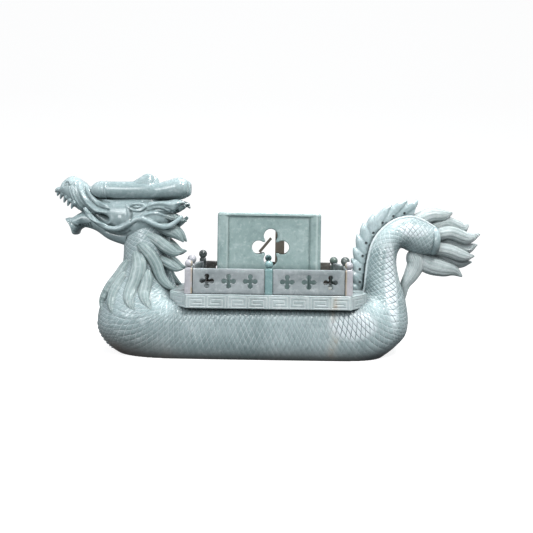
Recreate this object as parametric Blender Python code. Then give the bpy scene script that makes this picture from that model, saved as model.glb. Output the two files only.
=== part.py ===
"""A hardstone dragon boat: the hull is a dragon carved from one block, with a railed deck and a cabin on it.

The bow points to -X and up is +Z. The boat is even about the XZ plane and stands on its flat keel at Z = 0.
"""

import math

import bmesh
import bpy
import numpy as np

# Driving sizes, in metres
LENGTH = 0.382
SEAT_GAP = 0.0003

DECK_MIDDLE = 0.0022
DECK_TOP = 0.0542
DECK_THICKNESS = 0.0115
DECK_LENGTH = 0.166
DECK_WIDTH = 0.104
DECK_CUT_ALONG = 0.0165
DECK_CUT_ACROSS = 0.022

POST_WIDTH = 0.0064
POST_SETBACK = 0.0040
POST_NECK = 0.0008
POST_EXTRA = 0.0025
POST_SQUARENESS = 5.0
BALL_DIAMETER = 0.0066
LARGE_BALL_DIAMETER = 0.0082
RAIL_SETBACK = 0.01825
RAIL_HEIGHT = 0.0205
RAIL_THICKNESS = 0.0040
RAIL_BOW = 0.0042
FOIL_LOBE = 0.0021
FOIL_REACH = 0.0042
FOIL_OPENING = math.radians(118)
FOIL_END_MARGIN = 0.3
FOILS_IN_SIDE_PANEL = 3
FOILS_IN_END_PANEL = 2

CABIN_LENGTH = 0.0876
CABIN_WIDTH = 0.060
CABIN_HEIGHT = 0.0666
CABIN_WALL = 0.0045
CABIN_ROUNDING = 0.0024
CABIN_BAND = 0.0098
CABIN_LIP = 0.0028
CABIN_RECESS = 0.0010
WINDOW_HEIGHT = 0.0370
WINDOW_LOBE = 0.0058
WINDOW_REACH = 0.0100
MULLION_WIDTH = 0.0086
MULLION_OFFSET = 0.0092
STUB_DIAMETER = 0.0026
STUB_FOOT = (-0.0100, -0.0064)
STUB_END = (0.0010, 0.0070)
TRACERY_DEPTHS = (0.35, 0.90)

CREST_THICKNESS = 0.0085
CREST_FLAMES = 10
CREST_DRILL = 0.0026
CREST_DRILL_SHARE = 0.4
HORN_SPACING = 0.0196

# Numbers of sides of the round forms
BODY_SIDES = 18
HEAD_SIDES = 14
HORN_SIDES = 10
LOCK_SIDES = 6
CREST_SIDES = 6
POST_SIDES = 8
SHARP_ANGLE = math.radians(38)

# The carving is drawn in carving units. These are its whole length, where the deck's ends, top and long
# edge fall on the drawing, and the half width up to which the head, neck and tail lie.
CARVING_UNITS = 382
DRAWN_DECK_BOW = -80.8
DRAWN_DECK_STERN = 85.2
DRAWN_DECK_TOP = 54.2
DRAWN_DECK_HALF = 52.0
DRAWN_SLIM_HALF = 30.0

# The head and tail share the length that the deck leaves, and that sets the size of a carving unit.
UNIT = (LENGTH - DECK_LENGTH) / (CARVING_UNITS - DRAWN_DECK_STERN + DRAWN_DECK_BOW)

# The hull's upper side lies inside the deck slab
UNDER_DECK = DRAWN_DECK_TOP * (1 - DECK_THICKNESS / 3 / DECK_TOP)

# The carving below is drawn in carving units, from the side, as (along, up).
# Neck, hull and tail: inner edge (x, z), outer edge (x, z), half width, share of the widest line, squareness
BODY_ROWS = [
    (-96.0, 130.0, -126.0, 108.0, 15.0, 0.50, 2.0),
    (-88.8, 112.0, -127.4, 95.2, 19.0, 0.50, 2.0),
    (-87.0, 95.9, -127.4, 85.3, 21.0, 0.50, 2.0),
    (-87.0, 81.5, -128.4, 74.5, 23.0, 0.50, 2.0),
    (-86.1, 68.9, -133.6, 63.2, 27.0, 0.50, 2.0),
    (-82.5, 57.2, -140.6, 53.2, 33.0, 0.50, 2.1),
    (-80.0, 52.0, -144.9, 41.3, 39.0, 0.50, 2.2),
    (-79.0, UNDER_DECK, -146.8, 29.2, 43.0, 0.50, 2.3),
    (-78.0, UNDER_DECK, -145.2, 17.5, 45.5, 0.47, 2.4),
    (-77.0, UNDER_DECK, -139.2, 8.2, 47.0, 0.45, 2.5),
    (-76.0, UNDER_DECK, -129.6, 0.2, 48.0, 0.43, 2.6),
    (-74.0, UNDER_DECK, -115.0, -6.6, 48.5, 0.40, 2.7),
    (-68.0, UNDER_DECK, -97.0, -11.6, 49.0, 0.38, 2.8),
    (-55.0, UNDER_DECK, -75.0, -14.0, 49.5, 0.37, 2.8),
    (-25.0, UNDER_DECK, -30.0, -14.0, 50.0, 0.37, 2.8),
    (10.0, UNDER_DECK, 10.0, -14.0, 50.0, 0.37, 2.8),
    (40.0, UNDER_DECK, 50.0, -14.0, 50.0, 0.37, 2.8),
    (60.0, UNDER_DECK, 75.0, -12.6, 49.5, 0.38, 2.8),
    (70.0, UNDER_DECK, 91.0, -8.4, 48.5, 0.40, 2.7),
    (76.0, UNDER_DECK, 103.6, -0.8, 46.5, 0.43, 2.6),
    (80.0, UNDER_DECK, 113.4, 6.4, 43.5, 0.45, 2.5),
    (83.0, UNDER_DECK, 122.0, 14.5, 39.0, 0.47, 2.3),
    (85.0, 52.0, 125.4, 23.7, 35.0, 0.50, 2.2),
    (86.5, 53.0, 126.0, 33.0, 31.0, 0.50, 2.1),
    (87.5, 56.0, 124.6, 45.0, 27.0, 0.50, 2.0),
    (88.0, 62.0, 122.6, 53.0, 24.0, 0.50, 2.0),
    (88.6, 69.5, 119.2, 63.0, 21.5, 0.50, 2.0),
    (90.2, 82.0, 116.4, 76.0, 19.5, 0.50, 2.0),
    (93.8, 96.0, 116.7, 85.6, 18.0, 0.50, 2.0),
    (101.0, 107.4, 119.4, 91.2, 17.0, 0.50, 2.0),
    (112.7, 117.0, 122.8, 91.6, 16.0, 0.50, 2.0),
    (127.1, 121.0, 127.5, 89.4, 15.0, 0.50, 2.0),
    (137.9, 118.6, 134.3, 86.6, 14.0, 0.50, 2.0),
    (146.9, 113.6, 144.2, 85.8, 13.0, 0.50, 2.0),
    (151.0, 111.0, 150.5, 87.0, 12.5, 0.50, 2.0),
]

# Skull and upper jaw, from the nape to the lip: top (x, z), bottom (x, z), then as for the body
SKULL_ROWS = [
    (-84.3, 127.6, -87.2, 104.1, 13.0, 0.50, 2.0),
    (-97.5, 134.2, -100.9, 97.3, 19.0, 0.50, 2.2),
    (-112.1, 135.3, -117.1, 94.1, 20.5, 0.50, 2.3),
    (-126.1, 134.2, -130.3, 98.8, 20.0, 0.50, 2.3),
    (-138.8, 133.3, -140.5, 104.6, 18.0, 0.50, 2.3),
    (-148.0, 133.7, -148.9, 110.9, 16.0, 0.50, 2.3),
    (-155.1, 140.4, -157.3, 118.8, 14.0, 0.50, 2.3),
    (-162.6, 145.0, -165.0, 120.0, 13.0, 0.50, 2.3),
    (-168.4, 149.8, -172.0, 124.2, 12.0, 0.50, 2.3),
    (-175.0, 151.9, -178.8, 130.4, 11.0, 0.50, 2.2),
    (-182.0, 147.6, -184.8, 134.8, 9.0, 0.50, 2.2),
    (-189.0, 141.8, -191.0, 137.2, 5.5, 0.50, 2.0),
]

# Lower jaw, from the throat to the flared chin
JAW_ROWS = [
    (-120.9, 112.9, -124.0, 89.6, 14.0, 0.50, 2.2),
    (-137.7, 113.9, -140.4, 95.2, 13.0, 0.50, 2.2),
    (-149.7, 116.8, -152.0, 102.8, 11.0, 0.50, 2.2),
    (-160.2, 121.0, -161.9, 106.0, 10.0, 0.50, 2.2),
    (-167.0, 119.2, -166.5, 104.6, 10.5, 0.50, 2.2),
    (-173.3, 116.3, -169.6, 101.6, 12.0, 0.50, 2.4),
    (-178.6, 113.6, -170.9, 99.6, 13.0, 0.50, 2.6),
]

# Strands: points (x, z, half breadth seen from the side). A lock of the mane or of the plume also has
# its y at the root, its y at the tip and its half thickness.
HORN = [
    (-154.6, 139.1, 3.4),
    (-151.0, 139.2, 6.4),
    (-146.3, 139.3, 7.9),
    (-142.6, 139.3, 7.6),
    (-141.0, 139.3, 8.4),
    (-139.2, 139.3, 7.7),
    (-120.7, 139.0, 8.1),
    (-106.5, 139.4, 8.2),
    (-97.7, 138.8, 7.3),
    (-88.6, 140.1, 8.2),
    (-78.6, 142.1, 9.1),
    (-72.8, 142.7, 7.4),
    (-70.0, 142.8, 5.2),
]
HORN_BRANCH = [(-112.6, 140.0, 7.5), (-109.2, 147.5, 6.4), (-106.8, 151.4, 5.2), (-106.0, 153.8, 3.0)]
WHISKER = [
    (-158.5, 122.9, 1.6),
    (-152.4, 115.2, 2.2),
    (-144.0, 108.4, 2.3),
    (-132.7, 104.2, 2.3),
    (-123.3, 106.5, 2.3),
    (-113.9, 113.7, 2.3),
    (-108.2, 115.0, 2.3),
    (-98.8, 110.2, 2.3),
    (-88.5, 106.6, 2.4),
    (-81.9, 109.3, 2.2),
    (-73.5, 117.3, 0.7),
]
EAR = [
    (-103.0, 125.5, 4.5),
    (-87.6, 125.2, 5.6),
    (-79.5, 127.6, 4.6),
    (-74.4, 128.3, 2.6),
    (-71.0, 125.0, 0.7),
]
MANE = [
    (
        [
            (-109.9, 102.4, 4.0),
            (-98.7, 97.6, 5.8),
            (-88.2, 90.0, 5.7),
            (-80.5, 85.4, 3.9),
            (-73.5, 85.8, 0.7),
        ],
        15,
        12,
        6.0,
    ),
    (
        [
            (-111.2, 93.3, 4.2),
            (-102.5, 85.7, 5.7),
            (-95.6, 75.4, 5.7),
            (-91.3, 64.3, 5.3),
            (-85.3, 57.4, 3.8),
            (-77.5, 52.6, 0.7),
        ],
        19,
        19,
        6.0,
    ),
    (
        [
            (-96.0, 81.0, 4.5),
            (-86.2, 75.4, 5.2),
            (-79.2, 71.6, 3.5),
            (-73.2, 70.6, 0.7),
        ],
        12,
        10,
        6.0,
    ),
    (
        [
            (-100.4, 110.0, 4.3),
            (-89.6, 106.0, 5.8),
            (-80.4, 101.8, 4.8),
            (-73.0, 94.6, 0.7),
        ],
        12,
        9,
        6.0,
    ),
    (
        [
            (-93.6, 118.8, 4.0),
            (-82.4, 115.5, 3.8),
            (-73.2, 113.0, 0.7),
        ],
        11,
        8,
        5.0,
    ),
    (
        [
            (-113.0, 87.0, 4.2),
            (-108.6, 76.5, 5.6),
            (-109.3, 65.0, 5.8),
            (-112.8, 52.5, 5.2),
            (-112.0, 44.5, 3.6),
            (-106.0, 37.2, 0.7),
        ],
        19,
        41,
        5.0,
    ),
    (
        [
            (-104.6, 72.4, 3.6),
            (-101.6, 63.1, 4.8),
            (-102.3, 52.1, 4.6),
            (-98.5, 44.5, 3.2),
            (-92.4, 38.6, 0.7),
        ],
        22,
        43,
        4.6,
    ),
    (
        [
            (-118.6, 79.0, 3.8),
            (-125.6, 64.6, 5.2),
            (-133.0, 53.8, 5.0),
            (-137.6, 43.6, 3.8),
            (-136.4, 35.0, 0.7),
        ],
        14,
        22,
        5.0,
    ),
    (
        [
            (-119.7, 68.7, 3.4),
            (-126.1, 55.9, 4.6),
            (-128.4, 44.8, 3.8),
            (-125.1, 33.8, 0.7),
        ],
        19,
        34,
        5.0,
    ),
]
PLUME = [
    (
        [
            (134.0, 116.0, 5.8),
            (147.0, 121.6, 5.8),
            (158.5, 121.8, 4.6),
            (166.8, 124.2, 0.7),
        ],
        0,
        0,
        5.2,
    ),
    (
        [
            (144.0, 106.7, 5.0),
            (159.5, 115.0, 5.4),
            (171.0, 112.6, 4.8),
            (181.2, 110.6, 4.0),
        ],
        3,
        3,
        5.2,
    ),
    (
        [
            (146.0, 102.0, 5.0),
            (163.0, 106.4, 5.6),
            (179.0, 101.8, 5.0),
            (191.0, 105.4, 0.7),
        ],
        -2,
        -2,
        5.6,
    ),
    (
        [
            (146.0, 97.5, 5.0),
            (165.0, 98.0, 5.8),
            (180.0, 92.8, 5.2),
            (190.7, 96.0, 0.7),
        ],
        3,
        3,
        5.6,
    ),
    (
        [
            (146.0, 93.0, 5.0),
            (162.0, 90.6, 5.4),
            (175.6, 85.8, 4.8),
            (185.8, 85.8, 0.7),
        ],
        -3,
        -3,
        5.2,
    ),
    (
        [
            (146.0, 90.0, 4.5),
            (161.0, 84.4, 5.0),
            (174.5, 79.2, 4.2),
            (186.0, 80.2, 0.7),
        ],
        3,
        3,
        5.0,
    ),
    (
        [
            (133.0, 87.0, 5.0),
            (144.5, 78.8, 7.8),
            (157.7, 75.0, 7.2),
            (168.0, 72.8, 4.8),
            (176.4, 67.2, 0.7),
        ],
        0,
        0,
        5.0,
    ),
]
TAIL_STRAND = [
    (130.4, 90.5, 9.0),
    (134.9, 79.6, 8.3),
    (131.0, 68.7, 6.8),
    (125.2, 58.7, 4.6),
    (123.0, 47.9, 3.2),
    (121.4, 34.4, 1.0),
]
TAIL_CUFF = [
    (147.4, 111.8, 145.6, 86.6, 15.0, 0.5, 2.0),
    (149.6, 112.8, 148.6, 85.2, 16.0, 0.5, 2.0),
    (151.8, 111.6, 151.4, 86.4, 15.0, 0.5, 2.0),
]

# Crest of the tail: line that the flames rise from, and line through their tips
CREST_ROOT = [
    (87.4, 47.0),
    (88.4, 68.0),
    (90.4, 82.4),
    (94.4, 96.0),
    (101.6, 107.0),
    (113.0, 115.8),
    (131.0, 118.6),
]
CREST_EDGE = [
    (77.4, 48.0),
    (76.9, 62.4),
    (77.2, 78.6),
    (79.6, 93.0),
    (84.8, 109.3),
    (96.0, 120.8),
    (118.0, 132.6),
]
CREST_TIP = (135.2, 134.4)
CREST_STEP = 1.8
CREST_VALLEY = 0.36
CREST_DROP = 0.8
CREST_SECTION = (0.3, 1.6)

# Small forms of the head: middle (x, z), distance from the middle plane, then half sizes along x, y and z
EYE = (-111.4, 124.4, 18.6, 7.0, 2.6, 3.4)
CHEEK = (-129.0, 114.6, 15.5, 10.5, 5.4, 8.6)
NOSTRIL = (-174.0, 144.0, 8.0, 5.0, 3.6, 4.6)
EAR_OFFSET = 15.0
HORN_BRANCH_HALF = 5.0
STRAND_HALF = 6.4
WHISKER_HALF = 2.4
WHISKER_OFFSET = 14.5
WHISKER_SWELL = 4.5

MOUTH_CORNER = [(-152.0, 117.6, 0.8), (-145.5, 116.6, 2.3), (-139.0, 115.4, 3.0)]
MOUTH_CORNER_OFFSET = 18.0

# Gum point (x, z) of each tooth, then its half breadth at the gum and at the tip, length and height of root
TEETH = [(-183.4, 135.8), (-179.6, 132.4), (-175.6, 128.9), (-171.6, 126.0)]
TOOTH_BASE_HALF = 2.0
TOOTH_TIP_HALF = 0.4
TOOTH_LENGTH = 3.4
TOOTH_ROOT = 4.0
TOOTH_LEAN = 1.0
TOOTH_OFFSET = 4.0
TOOTH_SPREAD = 1.2


def clear_scene():
    for obj in list(bpy.data.objects):
        bpy.data.objects.remove(obj, do_unlink=True)


def stone(name, colour, roughness):
    """A polished stone material."""
    material = bpy.data.materials.new(name)
    material.use_nodes = True
    shader = material.node_tree.nodes["Principled BSDF"]
    shader.inputs["Base Color"].default_value = (*colour, 1.0)
    shader.inputs["Roughness"].default_value = roughness
    shader.inputs["Metallic"].default_value = 0.0
    material.diffuse_color = (*colour, 1.0)
    return material


def add_object(name, mesh, material):
    mesh.materials.append(material)
    obj = bpy.data.objects.new(name, mesh)
    bpy.context.scene.collection.objects.link(obj)
    return obj


def shade_round(mesh):
    """Shades a round form smooth and leaves its real edges sharp."""
    mesh.shade_smooth()
    mesh.set_sharp_from_angle(angle=SHARP_ANGLE)


def as_helper(obj):
    """Marks a shape that only cuts or joins another one."""
    obj.hide_render = True
    obj.display_type = "WIRE"
    return obj


def signed_power(value, power):
    return np.sign(value) * np.abs(value) ** power


def ring_mesh(name, rings):
    """A closed mesh over rings of points, each a loop across the form, with a flat cap at either end."""
    rings = np.asarray(rings, dtype=float)
    count, sides, _ = rings.shape
    index = np.arange(count * sides).reshape(count, sides)
    here = index[:-1]
    ahead = index[1:]
    quads = np.stack([here, np.roll(here, -1, 1), np.roll(ahead, -1, 1), ahead], axis=-1).reshape(-1, 4)
    faces = quads.tolist() + [index[0][::-1].tolist(), index[-1].tolist()]
    mesh = bpy.data.meshes.new(name)
    mesh.from_pydata(rings.reshape(-1, 3).tolist(), [], faces)
    shape = bmesh.new()
    shape.from_mesh(mesh)
    bmesh.ops.recalc_face_normals(shape, faces=shape.faces)
    shape.to_mesh(mesh)
    shape.free()
    shade_round(mesh)
    return mesh


def stretched(value, drawn, real):
    """Follows the real places between the drawn ones, and goes on beyond them at UNIT a carving unit."""
    beyond = np.minimum(value - drawn[0], 0) + np.maximum(value - drawn[1], 0)
    return np.interp(value, drawn, real) + UNIT * beyond


def fitted(points):
    """Carving units to metres, so that the hull keeps to the length, height and width of its deck."""
    x, y, z = np.moveaxis(np.asarray(points, dtype=float), -1, 0)
    deck_ends = (DECK_MIDDLE - DECK_LENGTH / 2, DECK_MIDDLE + DECK_LENGTH / 2)
    real_x = stretched(x, (DRAWN_DECK_BOW, DRAWN_DECK_STERN), deck_ends)
    widths = (DRAWN_SLIM_HALF * UNIT, DECK_WIDTH / 2)
    real_y = np.sign(y) * stretched(np.abs(y), (DRAWN_SLIM_HALF, DRAWN_DECK_HALF), widths)
    real_z = stretched(z, (0.0, DRAWN_DECK_TOP), (0.0, DECK_TOP))
    return np.stack([real_x, real_y, real_z], axis=-1)


def loft_rings(rows, sides):
    """Rings between an inner and an outer edge, each |along|^n + |across|^n = 1, n being the squareness."""
    turn = 2 * math.pi * (np.arange(sides) + 0.5) / sides
    rings = []
    for row in rows:
        inner = np.array(row[0:2])
        outer = np.array(row[2:4])
        half_width, share, squareness = row[4:7]
        middle_y = row[7] if len(row) > 7 else 0.0
        chord = outer - inner
        along = signed_power(np.cos(turn), 2 / squareness)
        across = signed_power(np.sin(turn), 2 / squareness)
        reach = np.where(along > 0, 1 - share, share) * along
        flat = inner + chord * share + reach[:, None] * chord
        rings.append(np.stack([flat[:, 0], middle_y + across * half_width, flat[:, 1]], axis=1))
    return rings


def carved(name, rows, sides):
    """A form of the carving, from rows drawn in carving units."""
    return ring_mesh(name, fitted(loft_rings(rows, sides)))


def through(points, count):
    """Points at even steps on a Catmull-Rom curve through the given ones, every column alike."""
    points = np.asarray(points, dtype=float)
    padded = np.vstack([2 * points[0] - points[1], points, 2 * points[-1] - points[-2]])
    place = np.linspace(0, len(points) - 1, count)
    span = np.minimum(place.astype(int), len(points) - 2)
    t = (place - span)[:, None]
    before, start, end, after = (padded[span + k] for k in range(4))
    return 0.5 * (
        2 * start
        + (end - before) * t
        + (2 * before - 5 * start + 4 * end - after) * t**2
        + (3 * start - before - 3 * end + after) * t**3
    )


def strand_rows(points, y_root, y_tip, half_thickness, count=None):
    """Loft rows for a strand: its breadth lies square to its path, and it thins towards its tip."""
    curve = through(points, count) if count else np.asarray(points, dtype=float)
    heading = np.gradient(curve[:, :2], axis=0)
    heading /= np.linalg.norm(heading, axis=1)[:, None]
    square = np.stack([-heading[:, 1], heading[:, 0]], axis=1)
    breadth = np.maximum(curve[:, 2], 0.5)
    thickness = half_thickness * breadth / breadth.max()
    offsets = np.linspace(y_root, y_tip, len(curve))
    upper = curve[:, :2] + square * breadth[:, None]
    lower = curve[:, :2] - square * breadth[:, None]
    return [
        (*low, *high, thick, 0.5, 2.0, y)
        for low, high, thick, y in zip(lower, upper, thickness, offsets)
    ]


def pebble(name, x, z, y, half_x, half_y, half_z):
    """An ellipsoid, in carving units."""
    mesh = bpy.data.meshes.new(name)
    shape = bmesh.new()
    bmesh.ops.create_uvsphere(shape, u_segments=8, v_segments=5, radius=1.0)
    for vertex in shape.verts:
        vertex.co = fitted(np.array([x, y, z]) + np.array(vertex.co) * (half_x, half_y, half_z))
    shape.to_mesh(mesh)
    shape.free()
    shade_round(mesh)
    return mesh


def tooth_rows(x, z, y):
    rows = []
    for middle, level, half in (
        (x, z + TOOTH_ROOT, TOOTH_BASE_HALF),
        (x - TOOTH_LEAN, z - TOOTH_LENGTH, TOOTH_TIP_HALF),
    ):
        rows.append((middle - half, level, middle + half, level, half, 0.5, 2.0, y))
    return rows


def crest_rows():
    """A blade along the tail whose outer edge climbs to a small tip on each flame and drops back after it."""
    samples = 2 * CREST_FLAMES + 1
    root = through([(*point, 0) for point in CREST_ROOT], samples)[:, :2]
    edge = through([(*point, 0) for point in CREST_EDGE], samples)[:, :2]
    outward = edge - root
    outward /= np.linalg.norm(outward, axis=1)[:, None]
    half = CREST_THICKNESS / UNIT / 2
    rows = []
    for step in range(samples - 1):
        rise = CREST_STEP * (step % 2) - CREST_VALLEY
        rows.append((*root[step], *(edge[step] + outward[step] * rise), half, *CREST_SECTION))
        if step % 2:
            forward = root[step] + CREST_DROP * (root[step + 1] - root[step])
            edge_forward = edge[step] + CREST_DROP * (edge[step + 1] - edge[step])
            rows.append((*forward, *(edge_forward + outward[step] * CREST_STEP), half, *CREST_SECTION))
    rows.append((*root[-1], *CREST_TIP, half, *CREST_SECTION))
    return rows


def crest_drill_meshes():
    """One short pin across the blade at the inner base of each flame."""
    root = through([(*point, 0) for point in CREST_ROOT], 2 * CREST_FLAMES + 1)[:, :2]
    edge = through([(*point, 0) for point in CREST_EDGE], 2 * CREST_FLAMES + 1)[:, :2]
    meshes = []
    for flame in range(1, CREST_FLAMES):
        x, z = root[2 * flame] + CREST_DRILL_SHARE * (edge[2 * flame] - root[2 * flame])
        mesh = bpy.data.meshes.new(f"crest_drill_{flame}")
        shape = bmesh.new()
        bmesh.ops.create_cone(
            shape,
            cap_ends=True,
            segments=6,
            radius1=CREST_DRILL / 2,
            radius2=CREST_DRILL / 2,
            depth=4 * CREST_THICKNESS,
        )
        quarter = np.array([[1, 0, 0], [0, 0, -1], [0, 1, 0]])
        for vertex in shape.verts:
            vertex.co = quarter @ np.array(vertex.co) + fitted([x, 0, z])
        shape.to_mesh(mesh)
        shape.free()
        meshes.append(mesh)
    return meshes


def box_mesh(name, low, high):
    mesh = bpy.data.meshes.new(name)
    shape = bmesh.new()
    bmesh.ops.create_cube(shape, size=1.0)
    bmesh.ops.scale(shape, vec=np.subtract(high, low), verts=shape.verts)
    bmesh.ops.translate(shape, vec=np.add(high, low) / 2, verts=shape.verts)
    shape.to_mesh(mesh)
    shape.free()
    return mesh


def prism_mesh(name, outline, low, high, axis):
    """An outline swept straight from low to high along Z (axis 2) or along Y (axis 1)."""
    rings = []
    for level in (low, high):
        ring = [(a, b, level) if axis == 2 else (a, level, b) for a, b in outline]
        rings.append(ring)
    return ring_mesh(name, rings)


def deck_outline():
    half_length = DECK_LENGTH / 2
    half_width = DECK_WIDTH / 2
    corner = [
        (half_length, half_width - DECK_CUT_ACROSS),
        (half_length - DECK_CUT_ALONG, half_width),
    ]
    quarters = corner + [(-x, y) for x, y in reversed(corner)]
    outline = quarters + [(-x, -y) for x, y in quarters]
    return [(x + DECK_MIDDLE, y) for x, y in outline]


def foil_outline(middle_x, middle_z, lobe, reach, arc_steps):
    """A quatrefoil: four round lobes that meet at the corners of the small square between them."""
    points = []
    for quarter in range(4):
        axis = quarter * math.pi / 2
        for angle in np.linspace(-FOIL_OPENING, FOIL_OPENING, arc_steps):
            along = reach + lobe * math.cos(angle)
            across = lobe * math.sin(angle)
            points.append(
                (
                    middle_x + along * math.cos(axis) - across * math.sin(axis),
                    middle_z + along * math.sin(axis) + across * math.cos(axis),
                )
            )
    return points


def pierced_board(name, length, height, thickness, foils):
    """A board along X with a row of quatrefoils through it. Its foot stands at Z = 0, about the origin."""
    shape = bmesh.new()
    border = [(-length / 2, 0), (length / 2, 0), (length / 2, height), (-length / 2, height)]
    pitch = length / (foils + FOIL_END_MARGIN)
    loops = [border]
    for number in range(foils):
        middle = (number - (foils - 1) / 2) * pitch
        loops.append(foil_outline(middle, height / 2, FOIL_LOBE, FOIL_REACH, 4))
    for loop in loops:
        corners = [shape.verts.new((x, -thickness / 2, z)) for x, z in loop]
        for start, end in zip(corners, corners[1:] + corners[:1]):
            shape.edges.new((start, end))
    bmesh.ops.triangle_fill(shape, edges=shape.edges, use_beauty=True)
    made = bmesh.ops.extrude_face_region(shape, geom=shape.faces[:])
    moved = [item for item in made["geom"] if isinstance(item, bmesh.types.BMVert)]
    bmesh.ops.translate(shape, vec=(0, thickness, 0), verts=moved)
    bmesh.ops.recalc_face_normals(shape, faces=shape.faces)
    mesh = bpy.data.meshes.new(name)
    shape.to_mesh(mesh)
    shape.free()
    return mesh


def post_mesh(name, ball_diameter, extra):
    """A square shaft with soft corners, a short round neck and a ball."""
    half = POST_WIDTH / 2
    ball = ball_diameter / 2
    shoulder = RAIL_HEIGHT + extra
    lowest = math.radians(-50)
    highest = math.radians(62)
    ball_middle = shoulder + POST_NECK - ball * math.sin(lowest)
    profile = [(0.0, half, POST_SQUARENESS), (shoulder, half, POST_SQUARENESS)]
    for angle in np.linspace(lowest, highest, 4):
        profile.append((ball_middle + ball * math.sin(angle), ball * math.cos(angle), 2.0))
    profile.append((ball_middle + ball, ball / 8, 2.0))
    rows = [(-radius, z, radius, z, radius, 0.5, squareness) for z, radius, squareness in profile]
    return ring_mesh(name, loft_rings(rows, POST_SIDES))


def place(name, mesh, material, x, y, z, turn=0.0):
    obj = bpy.data.objects.new(name, mesh)
    bpy.context.scene.collection.objects.link(obj)
    obj.location = (x, y, z)
    obj.rotation_euler = (0, 0, turn)
    obj.material_slots[0].link = "OBJECT"
    obj.material_slots[0].material = material
    return obj


def boolean(obj, name, operation, operand):
    modifier = obj.modifiers.new(name, "BOOLEAN")
    modifier.operation = operation
    modifier.solver = "EXACT"
    if isinstance(operand, bpy.types.Collection):
        modifier.operand_type = "COLLECTION"
        modifier.collection = operand
    else:
        modifier.object = operand
    return modifier


def helpers(name, meshes):
    """A collection of helper shapes that one Boolean uses together."""
    collection = bpy.data.collections.new(name)
    collection.hide_render = True
    bpy.context.scene.collection.children.link(collection)
    for mesh in meshes:
        collection.objects.link(as_helper(bpy.data.objects.new(mesh.name, mesh)))
    return collection


def carving_meshes():
    """Every form that the dragon is carved into, apart from its neck, hull and tail."""
    meshes = [
        carved("skull", SKULL_ROWS, HEAD_SIDES),
        carved("jaw", JAW_ROWS, HEAD_SIDES - 4),
        carved("crest", crest_rows(), CREST_SIDES),
        carved("tail_strand", strand_rows(TAIL_STRAND, 0, 0, STRAND_HALF, 8), LOCK_SIDES + 2),
        carved("tail_cuff", TAIL_CUFF, HEAD_SIDES),
        prism_mesh("deck_slab", deck_outline(), DECK_TOP - DECK_THICKNESS, DECK_TOP, 2),
    ]
    for number, (points, y_root, y_tip, half) in enumerate(PLUME):
        meshes.append(carved(f"plume_{number + 1}", strand_rows(points, y_root, y_tip, half, 6), LOCK_SIDES))
    horn_y = HORN_SPACING / UNIT / 2
    for side, word in ((-1, "near"), (1, "far")):
        meshes.append(carved(f"horn_{word}", horn_rows(side * horn_y), HORN_SIDES))
        branch = strand_rows(HORN_BRANCH, side * horn_y, side * horn_y, HORN_BRANCH_HALF)
        meshes.append(carved(f"branch_{word}", branch, LOCK_SIDES + 1))
        meshes.append(carved(f"whisker_{word}", whisker_rows(side), LOCK_SIDES - 1))
        ear = strand_rows(EAR, side * EAR_OFFSET, side * EAR_OFFSET, 4.0, 6)
        meshes.append(carved(f"ear_{word}", ear, LOCK_SIDES))
        for form, (x, z, y, *halves) in (("eye", EYE), ("cheek", CHEEK), ("nostril", NOSTRIL)):
            meshes.append(pebble(f"{form}_{word}", x, z, side * y, *halves))
        for number, (points, y_root, y_tip, half) in enumerate(MANE):
            rows = strand_rows(points, side * y_root, side * y_tip, half, 6)
            meshes.append(carved(f"lock_{number + 1}_{word}", rows, LOCK_SIDES))
        for number, (x, z) in enumerate(TEETH):
            tooth = tooth_rows(x, z, side * (TOOTH_OFFSET + TOOTH_SPREAD * number))
            meshes.append(carved(f"tooth_{number + 1}_{word}", tooth, 4))
    return meshes


def horn_rows(y):
    """The horn is round: as thick across as it is high."""
    return [(x, z - half, x, z + half, half, 0.5, 2.0, y) for x, z, half in HORN]


def whisker_rows(side):
    """A cord of stone along the cheek, further out where the cheek is widest."""
    rows = strand_rows(WHISKER, 0, 0, WHISKER_HALF)
    depth = WHISKER_OFFSET + WHISKER_SWELL * np.sin(np.linspace(0.1, 1, len(rows)) * math.pi)
    return [(*row[:7], side * y) for row, y in zip(rows, depth)]


def make_dragon():
    material = stone("pale_celadon_stone", (0.42, 0.52, 0.50), 0.28)
    dragon = add_object("dragon_hull", carved("dragon_hull", BODY_ROWS, BODY_SIDES), material)
    boolean(dragon, "carve out of one block", "UNION", helpers("carving", carving_meshes()))
    keel = box_mesh("keel_cut", (-LENGTH, -DECK_WIDTH, -LENGTH / 4), (LENGTH, DECK_WIDTH, 0))
    corners = []
    for side in (-1, 1):
        offset = side * MOUTH_CORNER_OFFSET
        corners.append(carved(f"mouth_corner_{side}", strand_rows(MOUTH_CORNER, offset, offset, 6.0), 6))
    boolean(dragon, "cuts", "DIFFERENCE", helpers("cuts", [keel, *corners, *crest_drill_meshes()]))


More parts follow.
